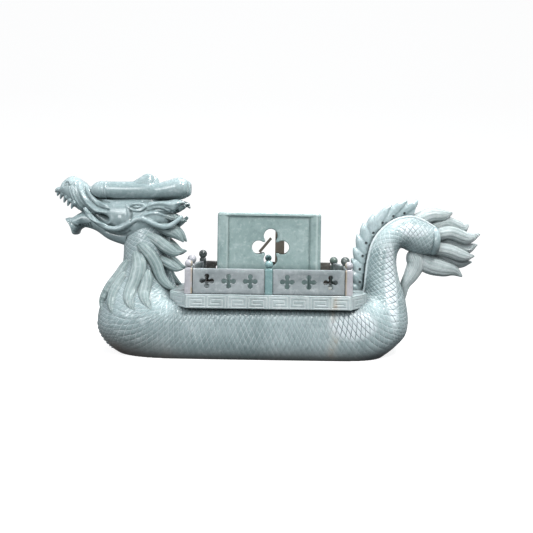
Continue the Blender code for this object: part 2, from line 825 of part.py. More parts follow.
def make_railing():
    """Eight posts on the deck, with a pierced panel between each post and the next."""
    half_length = DECK_LENGTH / 2 - RAIL_SETBACK
    half_width = DECK_WIDTH / 2 - POST_SETBACK
    foot = DECK_TOP + SEAT_GAP
    lavender = stone("lavender_stone", (0.46, 0.48, 0.55), 0.30)
    teal = stone("teal_stone", (0.30, 0.45, 0.44), 0.28)
    grey = stone("grey_lavender_stone", (0.44, 0.48, 0.52), 0.30)
    # Where each post stands, its stone, its ball, and how far it stands above the railing's common height
    posts = {
        "post_near_bow": (-half_length, -half_width, lavender, BALL_DIAMETER, 0.0),
        "post_near_middle": (0.0, -half_width, teal, BALL_DIAMETER, 0.0),
        "post_near_stern": (half_length, -half_width, lavender, BALL_DIAMETER, 0.0),
        "post_end_stern": (half_length + RAIL_BOW, 0.0, grey, LARGE_BALL_DIAMETER, 0.0),
        "post_far_stern": (half_length, half_width, grey, LARGE_BALL_DIAMETER, -POST_EXTRA),
        "post_far_middle": (0.0, half_width, teal, BALL_DIAMETER, 0.0),
        "post_far_bow": (-half_length, half_width, grey, LARGE_BALL_DIAMETER, POST_EXTRA),
        "post_end_bow": (-half_length - RAIL_BOW, 0.0, lavender, LARGE_BALL_DIAMETER, 0.0),
    }
    for name, (x, y, material, ball_diameter, extra) in posts.items():
        shaft = post_mesh(name, ball_diameter, extra)
        shaft.materials.append(material)
        place(name, shaft, material, DECK_MIDDLE + x, y, foot)
    ring = list(posts.items())
    boards = {}
    for (first_name, first), (next_name, second) in zip(ring, ring[1:] + ring[:1]):
        run = (second[0] - first[0], second[1] - first[1])
        span = math.hypot(*run)
        # A panel that stands askew clears the corners of its square posts.
        slant = min(abs(run[0]), abs(run[1])) / span
        clear_half = POST_WIDTH / 2 * (1 + slant) + SEAT_GAP
        across = abs(run[1]) > abs(run[0])
        kind = "end" if across else "side"
        if kind not in boards:
            foils = FOILS_IN_END_PANEL if across else FOILS_IN_SIDE_PANEL
            boards[kind] = pierced_board(
                f"{kind}_panel", span - 2 * clear_half, RAIL_HEIGHT - SEAT_GAP, RAIL_THICKNESS, foils
            )
            boards[kind].materials.append(grey)
        middle = ((first[0] + second[0]) / 2, (first[1] + second[1]) / 2)
        name = f"panel_{first_name[5:]}_to_{next_name[5:]}"
        turn = math.atan2(run[1], run[0])
        place(name, boards[kind], grey, DECK_MIDDLE + middle[0], middle[1], foot, turn)


def make_cabin():
    """A hollow house, open below, with a recessed panel and a quatrefoil window in each long wall."""
    foot = DECK_TOP + SEAT_GAP
    half_length = CABIN_LENGTH / 2
    half_width = CABIN_WIDTH / 2
    top = foot + CABIN_HEIGHT
    window_z = foot + WINDOW_HEIGHT
    low = (DECK_MIDDLE - half_length, -half_width, foot)
    high = (DECK_MIDDLE + half_length, half_width, top)
    material = stone("greenish_stone", (0.38, 0.49, 0.46), 0.30)
    cabin = add_object("cabin", box_mesh("cabin", low, high), material)
    bevel = cabin.modifiers.new("rounded edges", "BEVEL")
    bevel.width = CABIN_ROUNDING
    bevel.segments = 2
    bevel.limit_method = "WEIGHT"
    weights = cabin.data.attributes.new("bevel_weight_edge", "FLOAT", "EDGE")
    for edge in cabin.data.edges:
        ends = [cabin.data.vertices[v].co.z for v in edge.vertices]
        weights.data[edge.index].value = 0.0 if max(ends) < foot + CABIN_HEIGHT / 2 else 1.0
    inside = box_mesh(
        "cabin_inside",
        (low[0] + CABIN_WALL, low[1] + CABIN_WALL, foot - CABIN_WALL),
        (high[0] - CABIN_WALL, high[1] - CABIN_WALL, top - CABIN_WALL),
    )
    cuts = [inside]
    for side, edge_y in ((-1, low[1]), (1, high[1])):
        faces = sorted((edge_y + side * CABIN_RECESS, edge_y - side * CABIN_RECESS))
        cuts.append(
            box_mesh(
                f"wall_recess_{side}",
                (low[0] + CABIN_BAND, faces[0], foot - CABIN_WALL),
                (high[0] - CABIN_BAND, faces[1], top - CABIN_LIP),
            )
        )
    window = foil_outline(DECK_MIDDLE, window_z, WINDOW_LOBE, WINDOW_REACH, 7)
    cuts.append(prism_mesh("cabin_window", window, -CABIN_WIDTH, CABIN_WIDTH, 1))
    boolean(cabin, "hollow and windows", "DIFFERENCE", helpers("cabin_cuts", cuts))
    boolean(cabin, "tracery", "UNION", helpers("cabin_tracery", tracery_meshes(window_z, high[1])))


def tracery_meshes(window_z, far_face):
    """In the far window, an upright bar and the stub of a slanting one."""
    bar_near = far_face - CABIN_WALL * TRACERY_DEPTHS[1]
    bar_far = far_face - CABIN_WALL * TRACERY_DEPTHS[0]
    reach = WINDOW_REACH + WINDOW_LOBE + CABIN_WALL / 4
    middle = DECK_MIDDLE + MULLION_OFFSET
    mullion = box_mesh(
        "mullion",
        (middle - MULLION_WIDTH / 2, bar_near, window_z - reach),
        (middle + MULLION_WIDTH / 2, bar_far, window_z + reach),
    )
    sill = np.array(STUB_FOOT)
    end = np.array(STUB_END)
    half = STUB_DIAMETER / 2
    square = np.array([sill[1] - end[1], end[0] - sill[0]])
    square = square / np.linalg.norm(square) * half
    base = np.array([DECK_MIDDLE, window_z])
    outline = [base + sill - square, base + sill + square, base + end + square, base + end - square]
    return [mullion, prism_mesh("tracery_stub", outline, bar_near, bar_far, 1)]


clear_scene()
make_dragon()
make_railing()
make_cabin()
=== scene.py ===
"""The look of a hardstone dragon boat: fine carving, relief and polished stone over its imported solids."""

import itertools
import math

import bmesh
import bpy
import numpy as np
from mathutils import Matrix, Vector


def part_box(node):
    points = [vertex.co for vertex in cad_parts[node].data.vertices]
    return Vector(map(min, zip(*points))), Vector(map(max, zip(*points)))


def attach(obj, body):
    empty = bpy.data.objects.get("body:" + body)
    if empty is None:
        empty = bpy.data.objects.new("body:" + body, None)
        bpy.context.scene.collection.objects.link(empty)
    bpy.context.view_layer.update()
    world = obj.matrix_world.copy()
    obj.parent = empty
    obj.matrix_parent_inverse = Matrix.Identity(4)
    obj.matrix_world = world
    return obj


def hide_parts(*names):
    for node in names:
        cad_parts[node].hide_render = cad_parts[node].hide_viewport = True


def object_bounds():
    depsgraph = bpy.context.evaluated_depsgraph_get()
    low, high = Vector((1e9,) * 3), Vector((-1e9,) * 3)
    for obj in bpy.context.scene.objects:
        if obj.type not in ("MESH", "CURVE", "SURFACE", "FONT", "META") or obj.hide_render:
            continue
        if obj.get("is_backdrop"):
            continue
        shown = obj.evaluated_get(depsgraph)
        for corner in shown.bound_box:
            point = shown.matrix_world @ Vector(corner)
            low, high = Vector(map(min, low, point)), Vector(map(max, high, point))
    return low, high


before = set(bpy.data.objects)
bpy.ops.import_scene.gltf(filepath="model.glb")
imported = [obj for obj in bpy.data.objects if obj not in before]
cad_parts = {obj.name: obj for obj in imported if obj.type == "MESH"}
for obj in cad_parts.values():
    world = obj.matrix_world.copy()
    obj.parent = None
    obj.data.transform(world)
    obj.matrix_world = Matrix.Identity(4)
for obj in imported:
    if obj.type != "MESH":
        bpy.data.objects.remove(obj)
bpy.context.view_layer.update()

MM = 0.001

# Studio. A white sweep of card under and behind the carving, one soft light above it to the right, weaker
# ones to the left and overhead, and a camera a little over the deck's height that looks at the near side.
eye = bpy.data.cameras.new("camera")
eye.lens = 35.66
eye.sensor_width = 36.0
eye.shift_x = 0.0015
eye.shift_y = -0.0722
eye.clip_start = 0.01
camera = bpy.data.objects.new("camera", eye)
camera.location = (-0.0009, -0.475, 0.108)
camera.rotation_euler = (math.radians(90.0), -0.0157, 0.0)
bpy.context.scene.collection.objects.link(camera)
bpy.context.scene.camera = camera
LIT_POINT = (0.0, 0.0, 0.07)


def soft_light(name, place, size, watts, colour):
    """A round soft light at a place, turned so that it faces the middle of the carving."""
    lamp = bpy.data.lights.new(name, "AREA")
    lamp.shape = "DISK"
    lamp.size = size
    lamp.energy = watts
    lamp.color = colour
    holder = bpy.data.objects.new(name, lamp)
    holder.location = place
    facing = Vector(LIT_POINT) - holder.location
    holder.rotation_euler = facing.to_track_quat("-Z", "Y").to_euler()
    bpy.context.scene.collection.objects.link(holder)


soft_light("light_key_right", (0.26, -0.46, 0.72), 0.22, 5.2, (1.0, 0.99, 0.97))
soft_light("light_fill_left", (-0.42, -0.70, 0.42), 0.34, 2.2, (0.96, 0.99, 1.0))
soft_light("light_overhead", (0.06, 0.10, 0.72), 0.34, 3.4, (1.0, 1.0, 1.0))

sky = bpy.data.worlds.new("studio")
sky.use_nodes = True
sky_nodes = sky.node_tree.nodes
sky_links = sky.node_tree.links
facing = sky_nodes.new("ShaderNodeTexCoord")
parts = sky_nodes.new("ShaderNodeSeparateXYZ")
lift = sky_nodes.new("ShaderNodeMapRange")
lift.interpolation_type = "SMOOTHSTEP"
lift.inputs["From Min"].default_value = -0.75
lift.inputs["From Max"].default_value = 0.8
lift.inputs["To Min"].default_value = 0.05
lift.inputs["To Max"].default_value = 0.70
sky_links.new(facing.outputs["Generated"], parts.inputs["Vector"])
sky_links.new(parts.outputs["Z"], lift.inputs["Value"])
sky_links.new(lift.outputs["Result"], sky_nodes["Background"].inputs["Strength"])
sky_nodes["Background"].inputs["Color"].default_value = (0.94, 0.97, 1.0, 1.0)
bpy.context.scene.world = sky
bpy.context.scene.view_settings.view_transform = "Standard"

SWEEP_HALF = 3.0
SWEEP_FLAT = 1.2
SWEEP_ARC = 0.7
turn = np.linspace(0, math.pi / 2, 24)
profile = np.concatenate(
    [
        [(-2.5, 0.0)],
        np.stack([SWEEP_FLAT + SWEEP_ARC * np.sin(turn), SWEEP_ARC * (1 - np.cos(turn))], axis=1),
        [(SWEEP_FLAT + SWEEP_ARC, 3.0)],
    ]
)
left = np.column_stack([np.full(len(profile), -SWEEP_HALF), profile])
right = np.column_stack([np.full(len(profile), SWEEP_HALF), profile])
count = len(profile)
step = np.arange(count - 1)
sweep_mesh = bpy.data.meshes.new("floor_sweep")
sweep_mesh.from_pydata(
    np.vstack([left, right]).tolist(),
    [],
    np.stack([step, step + count, step + count + 1, step + 1], axis=1).tolist(),
)
sweep_mesh.shade_smooth()
card = bpy.data.materials.new("white_card")
card.use_nodes = True
card_shader = card.node_tree.nodes["Principled BSDF"]
card_shader.inputs["Base Color"].default_value = (0.30, 0.30, 0.30, 1.0)
card_shader.inputs["Roughness"].default_value = 0.9
card_shader.inputs["Specular IOR Level"].default_value = 0.0
card_shader.inputs["Emission Color"].default_value = (1.0, 1.0, 1.0, 1.0)
card_shader.inputs["Emission Strength"].default_value = 0.86
sweep_mesh.materials.append(card)
sweep = bpy.data.objects.new("floor_sweep", sweep_mesh)
sweep.visible_diffuse = False
sweep.visible_glossy = False
bpy.context.scene.collection.objects.link(sweep)
sweep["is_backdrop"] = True


# Neck, hull and tail. The real dragon is one block of pale grey-green stone, sawn, ground to a rounded
# section and polished. The scales are cut with a fine wheel as two sets of slanting lines that cross.
BODY_ROWS = [
    (-96.0, 130.0, -126.0, 108.0, 15.0, 0.50, 2.0),
    (-88.8, 112.0, -127.4, 95.2, 19.0, 0.50, 2.0),
    (-87.0, 95.9, -127.4, 85.3, 21.0, 0.50, 2.0),
    (-87.0, 81.5, -128.4, 74.5, 23.0, 0.50, 2.0),
    (-86.1, 68.9, -133.6, 63.2, 27.0, 0.50, 2.0),
    (-82.5, 57.2, -140.6, 53.2, 33.0, 0.50, 2.1),
    (-80.0, 52.0, -144.9, 41.3, 39.0, 0.50, 2.2),
    (-79.0, 50.4, -146.8, 29.2, 43.0, 0.50, 2.3),
    (-78.0, 50.4, -145.2, 17.5, 45.5, 0.47, 2.4),
    (-77.0, 50.4, -139.2, 8.2, 47.0, 0.45, 2.5),
    (-76.0, 50.4, -129.6, 0.2, 48.0, 0.43, 2.6),
    (-74.0, 50.4, -115.0, -6.6, 48.5, 0.40, 2.7),
    (-68.0, 50.4, -97.0, -11.6, 49.0, 0.38, 2.8),
    (-55.0, 50.4, -75.0, -14.0, 49.5, 0.37, 2.8),
    (-25.0, 50.4, -30.0, -14.0, 50.0, 0.37, 2.8),
    (10.0, 50.4, 10.0, -14.0, 50.0, 0.37, 2.8),
    (40.0, 50.4, 50.0, -14.0, 50.0, 0.37, 2.8),
    (60.0, 50.4, 75.0, -12.6, 49.5, 0.38, 2.8),
    (70.0, 50.4, 91.0, -8.4, 48.5, 0.40, 2.7),
    (76.0, 50.4, 103.6, -0.8, 46.5, 0.43, 2.6),
    (80.0, 50.4, 113.4, 6.4, 43.5, 0.45, 2.5),
    (83.0, 50.4, 122.0, 14.5, 39.0, 0.47, 2.3),
    (85.0, 52.0, 125.4, 23.7, 35.0, 0.50, 2.2),
    (86.5, 53.0, 126.0, 33.0, 31.0, 0.50, 2.1),
    (87.5, 56.0, 124.6, 45.0, 27.0, 0.50, 2.0),
    (88.0, 62.0, 122.6, 53.0, 24.0, 0.50, 2.0),
    (88.6, 69.5, 119.2, 63.0, 21.5, 0.50, 2.0),
    (90.2, 82.0, 116.4, 76.0, 19.5, 0.50, 2.0),
    (93.8, 96.0, 116.7, 85.6, 18.0, 0.50, 2.0),
    (101.0, 107.4, 119.4, 91.2, 17.0, 0.50, 2.0),
    (112.7, 117.0, 122.8, 91.6, 16.0, 0.50, 2.0),
    (127.1, 121.0, 127.5, 89.4, 15.0, 0.50, 2.0),
    (137.9, 118.6, 134.3, 86.6, 14.0, 0.50, 2.0),
    (146.9, 113.6, 144.2, 85.8, 13.0, 0.50, 2.0),
    (151.0, 111.0, 150.5, 87.0, 12.5, 0.50, 2.0),
]
BODY_STEPS = 620
BODY_SIDES = 160
SCALE_LENGTHS = [(0, 4.6), (90, 4.6), (130, 4.4), (280, 4.4), (330, 4.8), (400, 4.4), (600, 4.2)]
SCALE_HEIGHTS = [(14, 5.6), (24, 7.4), (40, 9.4), (50, 9.6)]
SCALE_CUT = 0.34
SCALE_STEPS = ((0.5, -9.0, -0.5), (1.0, -0.5, 0.5), (2.0, 0.5, 9.0))
DECK_MIDDLE = 2.2
DECK_SHADE = 0.42
DECK_SHADE_LEVELS = (26.0, 43.0)
DECK_SHADE_ENDS = (84.0, 74.0)


def through(points, count):
    """A Catmull-Rom curve through the points, read at even steps of its parameter, every column alike."""
    points = np.asarray(points, dtype=float)
    padded = np.vstack([2 * points[0] - points[1], points, 2 * points[-1] - points[-2]])
    place = np.linspace(0, len(points) - 1, count)
    span = np.minimum(place.astype(int), len(points) - 2)
    t = (place - span)[:, None]
    before, start, end, after = (padded[span + k] for k in range(4))
    return 0.5 * (
        2 * start
        + (end - before) * t
        + (2 * before - 5 * start + 4 * end - after) * t**2
        + (3 * start - before - 3 * end + after) * t**3
    )


def evenly(rows, count, columns):
    """The curve through the rows, read at even steps of length along the path that some columns give."""
    fine = through(rows, 40 * len(rows))
    path = fine @ columns
    length = np.concatenate([[0], np.cumsum(np.linalg.norm(np.diff(path, axis=0), axis=1))])
    steps = np.linspace(0, length[-1], count)
    return np.stack([np.interp(steps, length, column) for column in fine.T], axis=1), steps


def smooth_step(low, high, value):
    """0 below low, 1 above high, and 3t^2 - 2t^3 between them."""
    t = np.clip((value - low) / (high - low), 0, 1)
    return t * t * (3 - 2 * t)


def rings_of(rows, sides):
    """Superellipse rings, |along|^n + |across|^n = 1, between an inner and an outer edge point.

    A row is inner x, inner z, outer x, outer z, half width, widest share, n and, if it has one, middle y.
    """
    rows = np.asarray(rows, dtype=float)
    angle = 2 * math.pi * (np.arange(sides) + 0.5) / sides
    inner = rows[:, None, 0:2]
    chord = rows[:, None, 2:4] - inner
    half = rows[:, 4:5]
    share = rows[:, 5:6]
    power = 2 / rows[:, 6:7]
    middle_y = rows[:, 7:8] if rows.shape[1] > 7 else 0.0
    cosine = np.cos(angle)[None]
    sine = np.sin(angle)[None]
    along = np.sign(cosine) * np.abs(cosine) ** power
    across = np.sign(sine) * np.abs(sine) ** power
    reach = share + np.where(along > 0, 1 - share, share) * along
    flat = inner + reach[..., None] * chord
    return np.stack([flat[..., 0], middle_y + across * half, flat[..., 1]], axis=2)


def ring_normals(rings):
    """Unit normals of a grid that closes round each ring: across the ring times along the rows."""
    around = np.roll(rings, -1, 1) - np.roll(rings, 1, 1)
    onward = np.gradient(rings, axis=0)
    normal = np.cross(around, onward)
    normal /= np.maximum(np.linalg.norm(normal, axis=2), 1e-9)[..., None]
    outward = rings - rings.mean(axis=1, keepdims=True)
    return normal * np.sign((normal * outward).sum())


def shell(rings, cut=None, chart=None):
    """A closed skin over rings in millimetres: quads between rings and a fan to the middle of each end ring.

    The chart gives each point of the rings its place on the UV map, and cut its share of a carved line.
    """
    count, sides, _ = rings.shape
    index = np.arange(count * sides).reshape(count, sides)
    here = index[:-1]
    ahead = index[1:]
    quads = np.stack([here, np.roll(here, -1, 1), np.roll(ahead, -1, 1), ahead], axis=-1).reshape(-1, 4)
    poles = (count * sides, count * sides + 1)
    first = np.stack([np.roll(index[0], -1), index[0], np.full(sides, poles[0])], axis=1)
    last = np.stack([index[-1], np.roll(index[-1], -1), np.full(sides, poles[1])], axis=1)
    points = np.vstack([rings.reshape(-1, 3), rings[0].mean(axis=0), rings[-1].mean(axis=0)])
    triangles = np.vstack([first, last])
    spots = np.zeros((len(points), 2))
    if chart is not None:
        spots[: count * sides] = chart.reshape(-1, 2)
        spots[poles[0]] = chart[0].mean(axis=0)
        spots[poles[1]] = chart[-1].mean(axis=0)
    quad_uv = spots[quads]
    triangle_uv = spots[triangles]
    marks = np.zeros(len(points))
    if cut is not None:
        marks[: count * sides] = cut.reshape(-1)
    a, b, c, d = (points[quads[:, k]] for k in range(4))
    volume = (a * np.cross(b, c)).sum() + (a * np.cross(c, d)).sum()
    a, b, c = (points[triangles[:, k]] for k in range(3))
    volume += (a * np.cross(b, c)).sum()
    if volume < 0:
        quads, quad_uv = quads[:, ::-1], quad_uv[:, ::-1]
        triangles, triangle_uv = triangles[:, ::-1], triangle_uv[:, ::-1]
    return points, quads, triangles, quad_uv, triangle_uv, marks


def paint(mesh, name, values):
    """Stores a value for each point of a mesh, for its stone to read."""
    mesh.attributes.new(name, "FLOAT", "POINT").data.foreach_set("value", values.astype(np.float32))


def piece(name, shells, material, record_slot, *nodes, sharp=None):
    """One object out of closed skins. It rides on the part and stands for the nodes named."""
    offset = 0
    points, faces, corners, marks = [], [], [], []
    for skin in shells:
        skin_points, quads, triangles, quad_uv, triangle_uv, skin_marks = skin
        points.append(skin_points * MM)
        marks.append(skin_marks)
        for polygons, uv in ((quads, quad_uv), (triangles, triangle_uv)):
            faces += (polygons + offset).tolist()
            corners.append(uv.reshape(-1, 2))
        offset += len(skin_points)
    mesh = bpy.data.meshes.new(name)
    mesh.from_pydata(np.vstack(points).tolist(), [], faces)
    spots = np.vstack(corners).astype(np.float32)
    mesh.uv_layers.new(name="carving").data.foreach_set("uv", spots.reshape(-1))
    paint(mesh, "cut", np.concatenate(marks))
    return finish_piece(name, mesh, material, nodes, sharp)


def finish_piece(name, mesh, material, nodes, sharp=None):
    """Shades a mesh, gives it its stone, and makes it a piece of the part."""
    mesh.shade_smooth()
    if sharp is not None:
        mesh.set_sharp_from_angle(angle=math.radians(sharp))
    mesh.materials.append(material)
    obj = bpy.data.objects.new(name, mesh)
    bpy.context.scene.collection.objects.link(obj)
    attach(obj, "root")
    if nodes:
        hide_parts(*nodes)
    return obj


def carved(name, shells, material, sharp=None):
    """A piece of the one block that the dragon, the hull and the deck slab are carved from."""
    return piece(name, shells, material, "celadon_stone", "dragon_hull", sharp=sharp)


class Wire:
    """A value on its way through a stone's shader. Arithmetic on it adds Math nodes."""

    def __init__(self, tree, socket=None):
        self.tree = tree
        self.socket = socket

    def node(self, kind, settings=None, inputs=None, output=0):
        """A node of any kind: its settings, then values or wires for its inputs."""
        made = self.tree.nodes.new("ShaderNode" + kind)
        for key, value in (settings or {}).items():
            setattr(made, key, value)
        for key, value in (inputs or {}).items():
            if isinstance(value, Wire):
                self.tree.links.new(value.socket, made.inputs[key])
            else:
                made.inputs[key].default_value = value
        return Wire(self.tree, made.outputs[output])

    def math(self, operation, *values):
        return self.node("Math", {"operation": operation}, dict(enumerate(values)))

    def __add__(self, other):
        return self.math("ADD", self, other)

    def __radd__(self, other):
        return self.math("ADD", other, self)

    def __sub__(self, other):
        return self.math("SUBTRACT", self, other)

    def __rsub__(self, other):
        return self.math("SUBTRACT", other, self)

    def __mul__(self, other):
        return self.math("MULTIPLY", self, other)

    def __rmul__(self, other):
        return self.math("MULTIPLY", other, self)

    def __abs__(self):
        return self.math("ABSOLUTE", self)

    def ramp(self, low, high):
        """0 below low and 1 above high, smooth between them."""
        settings = {"interpolation_type": "SMOOTHSTEP"}
        inputs = {"Value": self, "From Min": low, "From Max": high}
        return self.node("MapRange", settings, inputs)

    def stripes(self, low, high):
        """1 at each whole number and 0 half way between, with the edge from low to high."""
        return abs(self.math("FRACT", self) - 0.5).ramp(low, high)

    def split(self):
        """The x, y and z of a vector, each a wire of its own."""
        parts = self.node("SeparateXYZ", {}, {0: self}).socket.node.outputs
        return [Wire(self.tree, part) for part in parts]


def mixed(wire, share, first, second):
    """A colour mix by socket number, because a Mix node names its colour sockets as it names its others."""
    made = wire.tree.nodes.new("ShaderNodeMix")
    made.data_type = "RGBA"
    for key, value in ((0, share), (6, first), (7, second)):
        if isinstance(value, Wire):
            wire.tree.links.new(value.socket, made.inputs[key])
        else:
            made.inputs[key].default_value = value if key == 0 else (*value, 1.0)
    return Wire(wire.tree, made.outputs[2])


VEIN_PALE = (0.62, 0.64, 0.60)
VEIN_BROWN = (0.40, 0.31, 0.22)
OCHRE = (0.50, 0.40, 0.24)
OCHRE_MIDDLE = 0.0022
OCHRE_ASIDE = 0.0614
GLINT_PAINTED_HIGHLIGHT = (0.82, 0.90, 0.94)
GLINT_PAINTED_LINES = (0.13, 0.19, 0.21)
LOW_BROWN = (0.20, 0.175, 0.16)


def polished_stone(
    name,
    pale,
    deep,
    frost,
    roughness=0.20,
    scales=0.0,
    vein=0.0,
    frosting=0.55,
    hair=0.0,
    streak=False,
    recess_shade=0.80,
    glints=(),
    painted_glow=0.0,
):
    """Translucent carved stone, cloudy in colour and pale where it is cut.

    If asked, it has scales, cuts as of hair, a vein, ochre streaks, or painted highlights at the glints. With
    scales it is darker and browner towards the bottom and at the low bow. Its colour takes painted shade in
    recesses, found by ambient occlusion, and where the "shade" attribute says. If asked, it glows a little, as
    painted light.
    """
    material = bpy.data.materials.new(name)
    material.use_nodes = True
    tree = material.node_tree
    shader = tree.nodes["Principled BSDF"]
    start = Wire(tree)
    where = start.node("TexCoord", output="Object")

    def noise(scale, detail, **more):
        inputs = {key.capitalize(): value for key, value in more.items()}
        return start.node("TexNoise", {}, {"Vector": where, "Scale": scale, "Detail": detail, **inputs})

    def stored(attribute):
        return start.node("Attribute", {"attribute_name": attribute}, output="Fac")

    cloud = noise(26.0, 5.0, roughness=0.62)
    speck = noise(330.0, 3.0, roughness=0.6)
    wisp = noise(75.0, 6.0, distortion=1.4)
    colour = mixed(start, cloud.ramp(0.36, 0.66), deep, pale)
    colour = mixed(start, wisp.ramp(0.56, 0.72) * 0.38, colour, frost)
    colour = mixed(start, speck.ramp(0.54, 0.70) * 0.32, colour, frost)
    colour = mixed(start, speck.ramp(0.46, 0.30) * 0.26, colour, tuple(0.6 * c for c in deep))
    cut = stored("cut")
    line = cut
    height = speck * 0.06 + cloud * 0.3
    if vein:
        x, _, z = where.split()
        far = abs(x - z * 0.06 + (noise(55.0, 4.0) - 0.5) * 0.011 - vein)
        colour = mixed(start, far.ramp(0.0070, 0.0010) * 0.50, colour, VEIN_PALE)
        streaks = noise(210.0, 4.0).ramp(0.42, 0.62)
        colour = mixed(start, far.ramp(0.0030, 0.0004) * streaks * 0.62, colour, VEIN_BROWN)
    if streak:
        beside = abs(where.split()[0] - OCHRE_MIDDLE) - OCHRE_ASIDE
        stain = abs(beside).ramp(0.0020, 0.0008) * wisp.ramp(0.34, 0.52)
        colour = mixed(start, stain * 0.75, colour, OCHRE)
    if scales:
        u, v, _ = start.node("UVMap", {"uv_map": "carving"}).split()
        shake = noise(160.0, 2.0)
        u = u + (shake - 0.5) * 0.20
        v = v + (shake - 0.5) * 0.16
        finer = stored("finer")
        lattices = []
        for often, low, high in SCALE_STEPS:
            lines = [slanted.stripes(0.395, 0.485) for slanted in (u + v * often, u - v * often)]
            share = finer.ramp(low - 0.15, low + 0.15) * finer.ramp(high + 0.15, high - 0.15)
            lattices.append(cut.math("MAXIMUM", *lines) * share)
        x, _, z = where.split()
        scale_line = sum(lattices) * (z.ramp(0.007, 0.020) * 0.8 + 0.2)
        patchy = noise(90.0, 3.0).ramp(0.30, 0.62)
        # Darker and browner towards the bottom and at the low bow.
        low_bow = (x * -1.0).ramp(0.05, 0.125) * z.ramp(0.030, 0.006)
        low_brown = (low_bow * 0.75 + z.ramp(0.016, 0.001) * 0.40) * (cloud.ramp(0.35, 0.6) * 0.4 + 0.6)
        line = cut.math("MAXIMUM", cut * 0.4, scale_line * (patchy * 0.55 + 0.45))
        height = height - scale_line * scales
        # Painted highlights: pale patches where the light glints on the stern and the tail, with the scale lines
        # in them painted dark and without frost.
        for glint_x, glint_z, reach_x, reach_z in glints:
            aside = (x - glint_x) * (1 / reach_x)
            above = (z - glint_z) * (1 / reach_z)
            painted_glint = (aside * aside + above * above).ramp(1.0, 0.30) * (wisp.ramp(0.30, 0.55) * 0.4 + 0.6)
            colour = mixed(start, painted_glint * 0.90, colour, GLINT_PAINTED_HIGHLIGHT)
            colour = mixed(start, painted_glint * scale_line, colour, GLINT_PAINTED_LINES)
            line = line * (1.0 - painted_glint)
    if hair:
        turned = start.node("UVMap", {"uv_map": "carving"}).split()[0]
        groove = (turned * 2.0 + (wisp - 0.5) * 0.5).stripes(0.22, 0.5)
        height = height - groove * hair
        colour = mixed(start, groove * 0.30, colour, tuple(0.55 * c for c in deep))
    colour = mixed(start, line * frosting, colour, frost)
    # Painted shade: the colour darkens in recesses and between parts, where ambient occlusion finds them, and as
    # much as the "shade" attribute says.
    open_sky = start.node("AmbientOcclusion", {"samples": 6}, {"Distance": 0.008}, output="AO")
    painted_shade = (1.0 - open_sky.ramp(0.30, 0.92)) * recess_shade
    painted_shade = cut.math("MAXIMUM", painted_shade, stored("shade") * 0.85)
    colour = mixed(start, painted_shade, colour, tuple(0.28 * c for c in deep))
    if scales:
        colour = mixed(start, low_brown, colour, LOW_BROWN)
    bump = start.node("Bump", {}, {"Strength": 0.55, "Distance": 0.0006, "Height": height})
    tree.links.new(colour.socket, shader.inputs["Base Color"])
    tree.links.new((line * 0.28 + speck * 0.10 + (roughness - 0.05)).socket, shader.inputs["Roughness"])
    tree.links.new(bump.socket, shader.inputs["Normal"])
    shader.inputs["Subsurface Weight"].default_value = 0.16
    shader.inputs["Subsurface Radius"].default_value = (0.8, 1.0, 0.9)
    shader.inputs["Subsurface Scale"].default_value = 0.004
    shader.inputs["IOR"].default_value = 1.64
    # Painted light: the stone glows in its own pale colour, as strongly as asked.
    shader.inputs["Emission Color"].default_value = (*pale, 1.0)
    shader.inputs["Emission Strength"].default_value = painted_glow
    material.diffuse_color = (*pale, 1.0)
    return material


CELADON_SHADES = ((0.42, 0.525, 0.545), (0.27, 0.36, 0.375), (0.64, 0.73, 0.75))
# Painted highlights on the stern and the tail: middle x and z, then half width and half height, in metres.
GLINTS = [(0.071, 0.030, 0.024, 0.014), (0.1072, 0.062, 0.0066, 0.042), (0.130, 0.1075, 0.016, 0.0065)]
CELADON = polished_stone("celadon_stone", *CELADON_SHADES, scales=1.0, vein=0.054, frosting=0.80, glints=GLINTS)
CELADON_PLAIN = polished_stone("celadon_stone_unscaled", *CELADON_SHADES, vein=0.054)
HAIR_SHADES = ((0.395, 0.50, 0.505), (0.25, 0.34, 0.345), (0.62, 0.71, 0.71))
CELADON_HAIR = polished_stone("celadon_stone_hair", *HAIR_SHADES, hair=0.9)

middle_of_row = np.zeros((7, 2))
middle_of_row[[0, 2], 0] = 0.5
middle_of_row[[1, 3], 1] = 0.5
body_rows, body_length = evenly(BODY_ROWS, BODY_STEPS, middle_of_row)
body_rings = rings_of(body_rows, BODY_SIDES)

# Scale places: round the ring by length from its widest line, so that both sides mirror each other
side_step = np.linalg.norm(np.roll(body_rings, -1, 1) - body_rings, axis=2)
ring_length = np.cumsum(side_step, axis=1) - side_step
around = ring_length - np.take_along_axis(ring_length, np.full((BODY_STEPS, 1), BODY_SIDES // 4), axis=1)
perimeter = side_step.sum(axis=1, keepdims=True)
around = np.abs((around + perimeter / 2) % perimeter - perimeter / 2)
around = np.minimum(around, perimeter / 2 - around)
scale_height = np.interp(body_rows[:, 4], *zip(*SCALE_HEIGHTS))
scale_u = around / scale_height[:, None]
scale_length = np.interp(body_length, *zip(*SCALE_LENGTHS))
scale_v = np.cumsum(np.gradient(body_length) / scale_length)[:, None]

